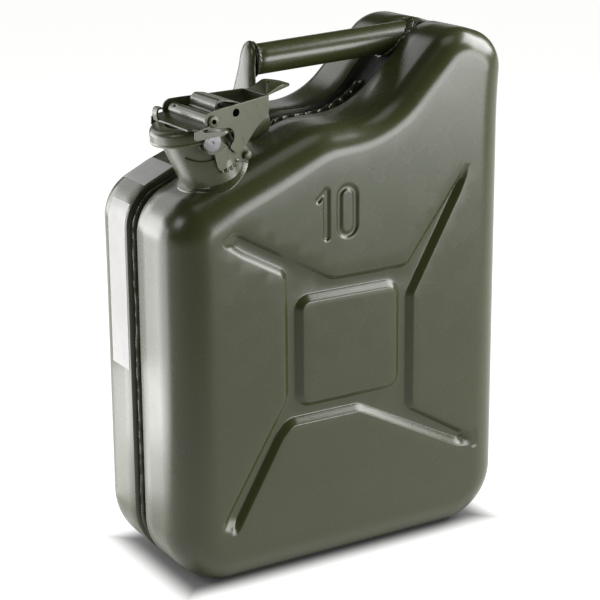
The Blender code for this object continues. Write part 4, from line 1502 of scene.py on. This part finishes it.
@dataclass
class Lever:
    """Locking lever: two tapered cheeks, a rear web and a thumb tab."""

    closure: Closure
    metal: SheetMetal = field(default_factory=SheetMetal)

    def cheek_outline(self) -> Array:
        """Side view of a cheek: eye, straight top, rear edge, lobe and round hook notch.

        Returns:
            Points of a closed loop.
        """
        px, pz = self.closure.pivot
        a = np.radians(250.0 - 145.0 * np.linspace(0.0, 1.0, 18))
        eye = np.stack([px + 6.6 * np.cos(a), pz + 6.6 * np.sin(a)], axis=1)
        back = rounded_path(np.array([(-97.0, 339.3), (-80.0, 340.4), (-55.2, 342.4), (-53.9, 330.3),
                                      (-66.0, 321.5), (-75.5, 311.4), (-83.2, 306.8), (-88.8, 311.8)]),
                            np.array([20.0, 60.0, 1.6, 4.0, 30.0, 20.0, 3.2, 1.0]), 6, closed=False)
        b = np.radians(-55.0 + 155.0 * np.linspace(0.0, 1.0, 16))
        notch = np.stack([-91.7 + 6.4 * np.cos(b), 319.4 + 6.4 * np.sin(b)], axis=1)
        return np.concatenate([eye, back, notch, np.array([(-98.0, 326.2)])])

    def cheek(self, side: Side) -> Piece:
        """One cheek with its rivet hole and locking hole.

        Args:
            side: the half that it belongs to.

        Returns:
            The linked object.
        """
        c = self.closure
        holes = [circle(*c.pivot, EYE_HOLE, 28), circle(*c.lock, EYE_HOLE, 28)]
        return self.metal.upright(f"lever_cheek_{side.label}", self.cheek_outline(), holes,
                                  lambda x: c.middle + side.value * c.cheek_half(x),
                                  lambda x: c.middle + side.value * (c.cheek_half(x) - c.sheet))

    def web(self) -> Piece:
        """Wall that joins the cheeks at the rear.

        Returns:
            The linked object.
        """
        c = self.closure
        half = float(c.cheek_half(np.array(-54.6))) - 0.1
        outline = np.array([(-half, 330.4), (half, 330.4), (half, 342.2), (-half, 342.2)])

        def face(x: float) -> Place:
            """Upright plane of one face."""
            return lambda p: np.stack([np.full(len(p), x), c.middle + p[:, 0], p[:, 1]], axis=1)

        return self.metal.plate("lever_web", outline, [], face(-55.6), face(-54.1))

    def tab(self) -> Piece:
        """Thumb tab: rounded in plan and curving upwards, with a small hole.

        It climbs quickly after the fold, runs level and dips a little at the tip.

        Returns:
            The linked object.
        """
        c = self.closure
        half = float(c.cheek_half(np.array(-54.6)))
        near = np.array([(-55.4, 0.4 - half), (-53.3, -12.6), (-41.5, -13.0), (-33.2, -10.0)])
        corners = np.concatenate([near, near[::-1] * np.array([1.0, -1.0])])
        outline = rounded_path(corners, np.array([0.2, 2.6, 7.0, 8.0, 8.0, 7.0, 2.6, 0.2]), 10)

        def rise(p: Array, drop: float) -> Array:
            """Points of a face that lies below the upper one by a drop.

            Args:
                p: (n, 2) points of the tab's plan.
                drop: distance below the upper face.

            Returns:
                (n, 3) points.
            """
            t = (p[:, 0] + 55.4) / 25.0
            crown = 0.9 * (1.0 - (p[:, 1] / half) ** 2) * smoothstep(t * 1.5)
            height = 342.2 + 5.4 * smoothstep(t / 0.5) - 1.6 * smoothstep((t - 0.55) / 0.45)
            return np.stack([p[:, 0], c.middle + p[:, 1], height + crown - drop], axis=1)

        return self.metal.plate("lever_tab", outline, [circle(-45.0, 1.0, 1.5, 20)],
                                lambda p: rise(p, 0.0), lambda p: rise(p, c.sheet))

    def pieces(self) -> list[Piece]:
        """Every sheet piece of the lever."""
        return [self.cheek(Side.NEAR), self.cheek(Side.FAR), self.web(), self.tab()]


@dataclass
class NeckEars:
    """Ears welded to the neck, with lumps of weld at their feet."""

    closure: Closure
    metal: SheetMetal = field(default_factory=SheetMetal)
    fold: tuple[Pair, Pair] = ((-101.5, 309.2), (-89.9, 313.4))

    def ear(self, side: Side) -> Piece:
        """Flat lower plate of an ear, which stands proud of the neck.

        Args:
            side: the half that it belongs to.

        Returns:
            The linked object.
        """
        outline = rounded_path(np.array([self.fold[0], self.fold[1], (-82.6, 303.8), (-84.2, 301.3),
                                         (-96.8, 297.2), (-98.6, 299.6)]),
                               np.array([0.6, 0.8, 1.2, 1.6, 1.4, 1.4]), 5)
        return self.metal.plate(f"neck_lug_{side.label}", outline, [],
                                self.face(side, 0.0), self.face(side, 1.6))

    def face(self, side: Side, drop: float, lean: float = 0.0) -> Place:
        """Face of an ear: it follows the cheek and may lean inwards above the fold line.

        Args:
            side: the half that it belongs to.
            drop: distance inside the outer face.
            lean: inward slope above the fold.

        Returns:
            Function from the side view to the face.
        """
        c = self.closure
        (x0, z0), (x1, z1) = self.fold

        def place(p: Array) -> Array:
            """Points of the side view on the face.

            Args:
                p: (n, 2) points.

            Returns:
                (n, 3) points.
            """
            over = np.maximum(p[:, 1] - (z0 + (p[:, 0] - x0) * (z1 - z0) / (x1 - x0)), 0.0)
            out = c.ear_half(p[:, 0]) - drop - lean * over
            return np.stack([p[:, 0], c.middle + side.value * out, p[:, 1]], axis=1)

        return place

    def top_plate(self, side: Side) -> Piece:
        """Upper part of an ear, bent in towards the neck, which carries the stud.

        Args:
            side: the half that it belongs to.

        Returns:
            The linked object.
        """
        outline = rounded_path(np.array([self.fold[1], (-97.5, 319.2), (-111.0, 317.0), (-111.5, 313.5),
                                         (-105.0, 309.4), self.fold[0]]),
                               np.array([0.3, 4.0, 2.0, 1.5, 4.0, 0.3]), 5)
        return self.metal.plate(f"neck_lug_top_{side.label}", outline, [], self.face(side, 0.1, 0.42),
                                self.face(side, 1.5, 0.42))

    def rear_arm(self, side: Side) -> Piece:
        """Part of an ear behind the cheek, set back, which carries the hinge pin.

        Args:
            side: the half that it belongs to.

        Returns:
            The linked object.
        """
        outline = rounded_path(np.array([(-88.0, 310.5), (-92.0, 306.0), (-90.0, 301.0), (-84.0, 300.4),
                                         (-74.0, 300.6), (-69.4, 303.0), (-69.4, 306.6), (-74.0, 310.0),
                                         (-82.0, 309.0)]),
                               np.array([2.0, 2.0, 2.0, 5.0, 4.0, 3.0, 3.0, 5.0, 5.0]), 5)
        return self.metal.plate(f"neck_lug_arm_{side.label}", outline,
                                [circle(*self.closure.hinge, PIN_HOLE, 24)],
                                self.face(side, 0.8), self.face(side, 1.6))

    def lumps(self, side: Side) -> Piece:
        """Short weld under the ear: spheres along a line, squashed and uneven.

        Each lump is radius * (1 + small waves) in every direction about its middle.

        Args:
            side: the half that it belongs to.

        Returns:
            The linked object.
        """
        c = self.closure
        places = ((-95.4, 296.8, 1.7), (-91.6, 297.2, 2.2), (-87.9, 298.2, 2.5), (-84.7, 299.9, 2.5),
                  (-82.4, 302.2, 2.0))
        theta, phi = np.meshgrid(np.linspace(0.02, np.pi - 0.02, 18),
                                 np.linspace(0.0, 2.0 * np.pi, 26, endpoint=False), indexing="ij")
        bm = bmesh.new()
        for k, (x, z, radius) in enumerate(places):
            bump = radius * (1.0 + 0.10 * np.sin(3.0 * phi + k) * np.sin(2.0 * theta))
            y = c.middle + side.value * (float(c.ear_half(np.array(x))) - 0.6)
            ball = np.stack([x + bump * np.sin(theta) * np.cos(phi), y + 0.75 * bump * np.cos(theta),
                             z + 0.8 * bump * np.sin(theta) * np.sin(phi)], axis=-1)
            rows, columns, _ = ball.shape
            add_mesh(bm, ball.reshape(-1, 3), grid_faces(rows, columns), end_caps(rows, columns))
        return finish_mesh(bm, f"lug_weld_{side.label}", 80.0)


class Nodes:
    """Short way to add and join the shader nodes of one new material."""

    def __init__(self, name: str) -> None:
        """Make the material and its object coordinates.

        Args:
            name: the material's name.
        """
        self.material = bpy.data.materials.new(name)
        self.material.use_nodes = True
        self.tree = self.material.node_tree
        self.shader = self.tree.nodes["Principled BSDF"]
        self.place = self.tree.nodes.new("ShaderNodeTexCoord").outputs["Object"]

    def fill(self, node: bpy.types.Node, inputs: dict[str | int, object]) -> bpy.types.Node:
        """Fill a node's inputs: a socket is joined, and anything else becomes the input's own value.

        Args:
            node: the node.
            inputs: a socket or a value for each input, by name or number.

        Returns:
            The same node.
        """
        for key, value in inputs.items():
            if isinstance(value, Socket):
                self.tree.links.new(value, node.inputs[key])
            else:
                node.inputs[key].default_value = value
        return node

    def maths(self, operation: str, *values: Socket | float) -> Socket:
        """Result of a maths node.

        Args:
            operation: Blender's name for it.
            values: its inputs in order.

        Returns:
            The output.
        """
        node = self.tree.nodes.new("ShaderNodeMath")
        node.operation = operation
        return self.fill(node, dict(enumerate(values))).outputs["Value"]

    def noise(self, size: float, detail: float, stretch: Triple = (1.0, 1.0, 1.0)) -> Socket:
        """Noise over the object's coordinates, its size in millimetres.

        Args:
            size: size of the largest forms.
            detail: finer layers on top.
            stretch: scale of each coordinate.

        Returns:
            The output, which varies about 0.5.
        """
        mapping = self.fill(self.tree.nodes.new("ShaderNodeMapping"), {
            "Vector": self.place, "Scale": stretch})
        node = self.fill(self.tree.nodes.new("ShaderNodeTexNoise"), {
            "Vector": mapping.outputs["Vector"], "Scale": 1.0 / (size * MM), "Detail": detail})
        return node.outputs["Fac"]

    def spread(self, value: Socket, source: Pair, target: Pair, smooth: bool = False) -> Socket:
        """Value stretched from one range to another, and held at its ends.

        Args:
            value: the value.
            source: the range it has.
            target: the range wanted.
            smooth: whether it eases at both ends.

        Returns:
            The output.
        """
        node = self.tree.nodes.new("ShaderNodeMapRange")
        if smooth:
            node.interpolation_type = "SMOOTHSTEP"
        return self.fill(node, {"Value": value, "From Min": source[0], "From Max": source[1],
                                "To Min": target[0], "To Max": target[1]}).outputs["Result"]

    def mixed(self, amount: Socket, first: Socket | Triple, second: Socket | Triple) -> Socket:
        """Colour between two others.

        Args:
            amount: 0 for the first, 1 for the second.
            first: a colour or a socket.
            second: a colour or a socket.

        Returns:
            The output.
        """
        node = self.tree.nodes.new("ShaderNodeMix")
        node.data_type = "RGBA"
        first, second = ((*c, 1.0) if isinstance(c, tuple) else c for c in (first, second))
        return self.fill(node, {"Factor": amount, 6: first, 7: second}).outputs[2]

    def bumped(self, height: Socket, strength: float, reach: float, below: Socket | None) -> Socket:
        """Normal tilted by a height, on top of another normal.

        Args:
            height: the height.
            strength: strength of the bump.
            reach: its depth in millimetres.
            below: the other normal, if there is one.

        Returns:
            The output.
        """
        node = self.fill(self.tree.nodes.new("ShaderNodeBump"), {
            "Height": height, "Strength": strength, "Distance": reach * MM})
        if below is not None:
            self.fill(node, {"Normal": below})
        return node.outputs["Normal"]


@dataclass(frozen=True)
class Finish:
    """Settings of a finish, its sizes in millimetres."""

    name: str
    colour: Triple
    second: Triple
    roughness: float
    spread: float
    metallic: float = 0.0
    grain_size: float = 1.2
    grain: float = 0.05
    wave_size: float = 45.0
    wave: float = 0.0
    patch_size: float = 60.0
    scuffs: float = 0.0
    channel_shade: bool = False

    def build(self) -> bpy.types.Material:
        """Node material from these settings.

        The colour is a mix of two close tones by a broad noise. Roughness follows a middle noise.
        Two bump layers give the fine grain and the slow waviness of the sheet. Thin scuffs, where
        there are any, lighten and dull the surface, and a painted shade darkens and dulls it by the
        weight of the mesh's own attribute, which grows with depth into the seam channel.

        Returns:
            The material.
        """
        nodes = Nodes(self.name)
        patches = nodes.spread(nodes.noise(self.patch_size, 3.0), (0.35, 0.65), (0.0, 1.0))
        colour = nodes.mixed(patches, self.colour, self.second)
        rough = nodes.spread(nodes.noise(self.patch_size * 0.3, 4.0), (0.3, 0.7),
                             (self.roughness - self.spread, self.roughness + self.spread))
        # Painted shade in the seam channel: the attribute's weight mixes in a near-black colour and adds
        # roughness.
        if self.channel_shade:
            painted_shade_node = nodes.tree.nodes.new("ShaderNodeAttribute")
            painted_shade_node.attribute_name = PAINTED_SHADE_ATTRIBUTE
            colour = nodes.mixed(painted_shade_node.outputs["Fac"], colour, PAINTED_SHADE_COLOUR)
            rough = nodes.maths("MULTIPLY_ADD", painted_shade_node.outputs["Fac"], 0.6, rough)
        if self.scuffs > 0.0:
            marks = nodes.spread(nodes.noise(2.2, 2.0, (1.0, 1.0, 0.12)), (0.70, 0.76), (0.0, self.scuffs))
            colour = nodes.mixed(marks, colour, tuple(0.5 * c + 0.06 for c in self.colour))
            rough = nodes.maths("MULTIPLY_ADD", marks, 0.25, rough)
        nodes.fill(nodes.shader, {"Metallic": self.metallic, "Base Color": colour, "Roughness": rough})
        normal = None
        for size, strength, reach in ((self.wave_size, self.wave, 1.2), (self.grain_size, self.grain, 0.12)):
            if strength > 0.0:
                normal = nodes.bumped(nodes.noise(size, 2.0), strength, reach, normal)
        if normal is not None:
            nodes.fill(nodes.shader, {"Normal": normal})
        return nodes.material


# Near-black colour of the painted shade in the seam channel.
PAINTED_SHADE_COLOUR = (0.0035, 0.004, 0.0022)
ENAMEL = Finish("olive_enamel", (0.0258, 0.0308, 0.0094), (0.0278, 0.0328, 0.0102), 0.27, 0.02,
                grain=0.06, grain_size=1.6, wave=0.05, wave_size=60.0, scuffs=0.025, channel_shade=True)
CLOSURE_ENAMEL = Finish("olive_enamel_closure", (0.035, 0.040, 0.0155), (0.042, 0.047, 0.019), 0.30, 0.04,
                        grain=0.10, grain_size=1.0, patch_size=14.0, scuffs=0.02)
WELD_ENAMEL = Finish("olive_enamel_weld", (0.022, 0.026, 0.0085), (0.030, 0.035, 0.013), 0.26, 0.05,
                     grain=0.18, grain_size=1.2, patch_size=6.0)
ZINC = Finish("zinc_plate", (0.14, 0.14, 0.145), (0.11, 0.11, 0.115), 0.48, 0.07, metallic=1.0, grain=0.15,
              grain_size=0.5, patch_size=5.0)
RUBBER = Finish("nitrile_rubber", (0.016, 0.016, 0.016), (0.022, 0.022, 0.021), 0.72, 0.08, grain=0.3,
                grain_size=0.6, patch_size=8.0)
PAPER = Finish("white_label", (0.265, 0.259, 0.256), (0.243, 0.239, 0.237), 0.50, 0.06, grain=0.12,
               grain_size=0.7, patch_size=25.0)


@dataclass(frozen=True)
class Panel:
    """Rectangular soft light: its middle, the point that it faces and its size, in metres."""

    name: str
    place: Triple
    aim: Triple
    size: Pair
    radiance: float

    def build(self) -> None:
        """Area light, hidden from the camera, whose power is radiance * pi * area."""
        data = bpy.data.lights.new(self.name, "AREA")
        data.shape = "RECTANGLE"
        data.size, data.size_y = self.size
        data.energy = self.radiance * math.pi * self.size[0] * self.size[1]
        lamp = bpy.data.objects.new(self.name, data)
        lamp.location = self.place
        lamp.visible_camera = False
        lamp.rotation_euler = (Vector(self.aim) - Vector(self.place)).to_track_quat("-Z", "Y").to_euler()
        bpy.context.scene.collection.objects.link(lamp)


PANELS = (
    Panel("left_near_panel", (-0.33, 0.13, 0.17), (-0.150, -0.02, 0.17), (0.26, 0.34), 4.2),
    Panel("left_foot_panel", (-0.225, 0.085, 0.055), (-0.136, -0.025, 0.055), (0.17, 0.11), 2.2),
    Panel("upper_left_panel", (-1.10, -0.15, 0.95), (-0.05, -0.03, 0.24), (0.45, 0.35), 5.0),
    Panel("front_right_panel", (0.85, -1.35, 0.38), (0.0, 0.0, 0.25), (1.2, 0.70), 9.8),
    Panel("right_high_panel", (1.00, -0.30, 0.95), (0.0, 0.0, 0.20), (0.9, 0.9), 12.0),
    Panel("back_left_low_panel", (-0.75, 1.10, 0.36), (-0.10, 0.03, 0.20), (1.1, 0.60), 4.5),
    Panel("back_left_high_panel", (-0.55, 1.45, 1.10), (0.0, 0.0, 0.30), (1.3, 0.80), 2.2),
    Panel("back_right_panel", (0.66, 1.05, 0.60), (0.02, 0.0, 0.33), (0.7, 0.20), 1.0),
    Panel("top_panel", (-0.1, -0.25, 2.1), (0.0, 0.0, 0.3), (0.9, 0.9), 1.5))


@dataclass
class Studio:
    """Camera, fitted to the photograph, and the pale floor; the floor's sizes are in metres."""

    azimuth: float = math.radians(30.877)
    elevation: float = math.radians(15.199)
    roll: float = math.radians(-0.427)
    focal_px: float = 1767.7
    frame_px: float = 600.0
    centre_row_px: float = 240.0
    place: Triple = (-632.8, -1053.6, 557.6)
    floor_half: float = 14.0
    footprint_half: Pair = (0.136, 0.065)

    def camera(self) -> None:
        """Camera at the photograph's angle, with the small shift that its framing needs."""
        a, e, r = self.azimuth, self.elevation, self.roll
        ahead = Vector((math.sin(a) * math.cos(e), math.cos(a) * math.cos(e), -math.sin(e)))
        right = ahead.cross(Vector((0.0, 0.0, 1.0))).normalized()
        up = right.cross(ahead)
        turned = math.cos(r) * right + math.sin(r) * up
        raised = -math.sin(r) * right + math.cos(r) * up
        lens = bpy.data.cameras.new("view")
        lens.sensor_width = 36.0
        lens.lens = self.focal_px / self.frame_px * lens.sensor_width
        lens.shift_y = (self.centre_row_px - self.frame_px / 2.0) / self.frame_px
        lens.clip_start, lens.clip_end = 0.05, 60.0
        camera = bpy.data.objects.new("view", lens)
        basis = Matrix((turned, raised, -ahead)).transposed().to_4x4()
        camera.matrix_world = Matrix.Translation(Vector(self.place) * MM) @ basis
        bpy.context.scene.collection.objects.link(camera)
        bpy.context.scene.camera = camera

    def floor(self) -> None:
        """Floor that glows a pale white, less so far in front of the can and right under it; the uneven glow
        is painted light.

        The glow rises smoothly with Y, a painted fall-off of light towards the front. It is multiplied by a
        rise with the distance past the can's footprint, which leaves a soft dark edge where the can stands:
        a painted contact shadow.
        """
        half = self.floor_half
        mesh = bpy.data.meshes.new("floor")
        mesh.from_pydata([(-half, -half, 0), (half, -half, 0), (half, half, 0), (-half, half, 0)], [],
                         [(0, 1, 2, 3)])
        nodes = Nodes("pale_floor")
        split = nodes.fill(nodes.tree.nodes.new("ShaderNodeSeparateXYZ"), {"Vector": nodes.place})
        over = [nodes.maths("SUBTRACT", nodes.maths("ABSOLUTE", split.outputs[axis]), reach)
                for axis, reach in zip("XY", self.footprint_half)]
        # Painted fall-off of light: the glow is dimmer in front of the can.
        fade = nodes.spread(split.outputs["Y"], (-0.75, -0.12), (0.38, 0.97), smooth=True)
        # Painted contact shadow: the glow drops to nothing under the can and rises just past its footprint.
        clear = nodes.spread(nodes.maths("MAXIMUM", *over), (-0.020, 0.006), (0.0, 1.0), smooth=True)
        nodes.fill(nodes.shader, {
            "Base Color": (0.12, 0.12, 0.12, 1.0), "Roughness": 0.8, "Emission Color": (1.0, 1.0, 0.99, 1.0),
            "Emission Strength": nodes.maths("MULTIPLY", fade, clear)})
        mesh.materials.append(nodes.material)
        floor = bpy.data.objects.new("floor", mesh)
        bpy.context.scene.collection.objects.link(floor)

    @staticmethod
    def surroundings() -> None:
        """Faint even light from all round, and colours shown as they are worked out."""
        world = bpy.data.worlds.new("studio")
        world.use_nodes = True
        background = world.node_tree.nodes["Background"]
        background.inputs["Color"].default_value = (1.0, 1.0, 1.0, 1.0)
        background.inputs["Strength"].default_value = 0.03
        bpy.context.scene.world = world
        bpy.context.scene.view_settings.view_transform = "Standard"

    def build(self) -> None:
        """Camera, floor, surroundings and lights."""
        self.camera()
        self.floor()
        self.surroundings()
        for panel in PANELS:
            panel.build()


class JerryCan:
    """Builds every piece, dresses it and ties it to its body."""

    def __init__(self) -> None:
        """Prepare the sub-assemblies and their finishes."""
        self.body = Body()
        self.handle = Handle(self.body)
        self.closure = Closure(self.body)
        self.bracket = CapBracket(self.closure)
        self.lever = Lever(self.closure)
        self.ears = NeckEars(self.closure)
        self.finish = {Slot.PAINT: ENAMEL.build(), Slot.CLOSURE: CLOSURE_ENAMEL.build(),
                       Slot.WELD: WELD_ENAMEL.build(), Slot.ZINC: ZINC.build(), Slot.RUBBER: RUBBER.build()}

    def dress(self, piece: Piece, carrier: Carrier, slot: Slot, *nodes: str) -> None:
        """Give a piece its finish, its body and the CAD nodes that it stands for.

        Args:
            piece: the piece.
            carrier: its body.
            slot: its finish.
            nodes: the nodes, if it replaces any.
        """
        piece.data.materials.clear()
        piece.data.materials.append(self.finish[slot])
        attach(piece, carrier.value)
        if nodes:
            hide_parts(*nodes)
        LOG.info("%s: %d faces on %s", piece.name, len(piece.data.polygons), carrier.value)

    def build_body(self) -> None:
        """Pressed halves and seam."""
        body, near = self.body, self.body.outline.nearest
        self.dress(body.shell(Side.NEAR, self.closure), Carrier.CAN, Slot.PAINT, "shell_near")
        self.dress(body.shell(Side.FAR, None), Carrier.CAN, Slot.PAINT, "shell_far")
        self.dress(body.bead("seam_weld", near(-62.0, 301.0), near(97.0, 375.8), False),
                   Carrier.CAN, Slot.WELD, "seam_bead_main")
        self.dress(body.bead("saddle_weld", near(48.0, 338.0), near(-28.0, 315.0), True),
                   Carrier.CAN, Slot.WELD, "seam_bead_saddle")

    def build_labels(self) -> None:
        """Two blank paper labels on the far half, which replace no node and have no slot."""
        body, near = self.body, self.body.outline.nearest
        paper = PAPER.build()
        for piece in (body.sticker("side_label", near(-136.0, 268.0), near(-136.0, 146.0), 10.6, 37.0),
                      body.sticker("shoulder_label", near(-97.0, 288.5), near(-119.7, 277.5), 10.6, 49.0)):
            piece.data.materials.append(paper)
            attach(piece, Carrier.CAN.value)
            LOG.info("%s placed", piece.name)

    def build_handle(self) -> None:
        """Tube, bracket and welds."""
        handle = self.handle
        self.dress(handle.tube(), Carrier.CAN, Slot.PAINT, "handle_tube")
        self.dress(handle.post(), Carrier.CAN, Slot.PAINT, "handle_post")
        self.dress(handle.weld("front_tube_weld", False), Carrier.CAN, Slot.WELD, "handle_weld_front")
        self.dress(handle.weld("rear_tube_weld", True), Carrier.CAN, Slot.WELD, "handle_weld_rear")

    def build_neck(self) -> None:
        """Neck, its ears and what they carry."""
        closure, ears = self.closure, self.ears
        self.dress(closure.neck(), Carrier.CAN, Slot.CLOSURE, "neck")
        self.dress(closure.neck_weld(), Carrier.CAN, Slot.WELD, "neck_weld")
        for side in Side:
            self.dress(closure.saddle(side), Carrier.CAN, Slot.CLOSURE)
            for piece in (ears.ear(side), ears.top_plate(side), ears.rear_arm(side)):
                self.dress(piece, Carrier.CAN, Slot.CLOSURE, f"neck_ear_{side.label}")
            self.dress(ears.lumps(side), Carrier.CAN, Slot.WELD)
            self.dress(closure.side_stud(side), Carrier.CAN, Slot.ZINC, f"stud_{side.label}")
            self.dress(closure.hinge_pin(side), Carrier.CAN, Slot.CLOSURE, f"hinge_pin_{side.label}")

    def build_cap(self) -> None:
        """Cap with what is under it, its bracket, and the lever with its rivet."""
        closure = self.closure
        self.dress(closure.cap(), Carrier.CAP, Slot.CLOSURE, "cap")
        self.dress(closure.gasket(), Carrier.CAP, Slot.RUBBER, "cap_gasket")
        self.dress(closure.retainer(), Carrier.CAP, Slot.ZINC, "seal_retainer")
        for piece in self.bracket.pieces():
            self.dress(piece, Carrier.CAP, Slot.CLOSURE, "cap_bracket")
        for piece in self.lever.pieces():
            self.dress(piece, Carrier.LEVER, Slot.CLOSURE, "lever")
        self.dress(closure.rivet(), Carrier.LEVER, Slot.CLOSURE, "lever_rivet")

    def build(self) -> None:
        """Every sub-assembly in order."""
        self.build_body()
        self.build_labels()
        self.build_handle()
        self.build_neck()
        self.build_cap()


def main() -> None:
    """Load the frame, build the can and its studio."""
    logging.basicConfig(level=logging.INFO, format="%(name)s %(message)s")
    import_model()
    Studio().build()
    JerryCan().build()


if __name__ == "__main__":
    main()
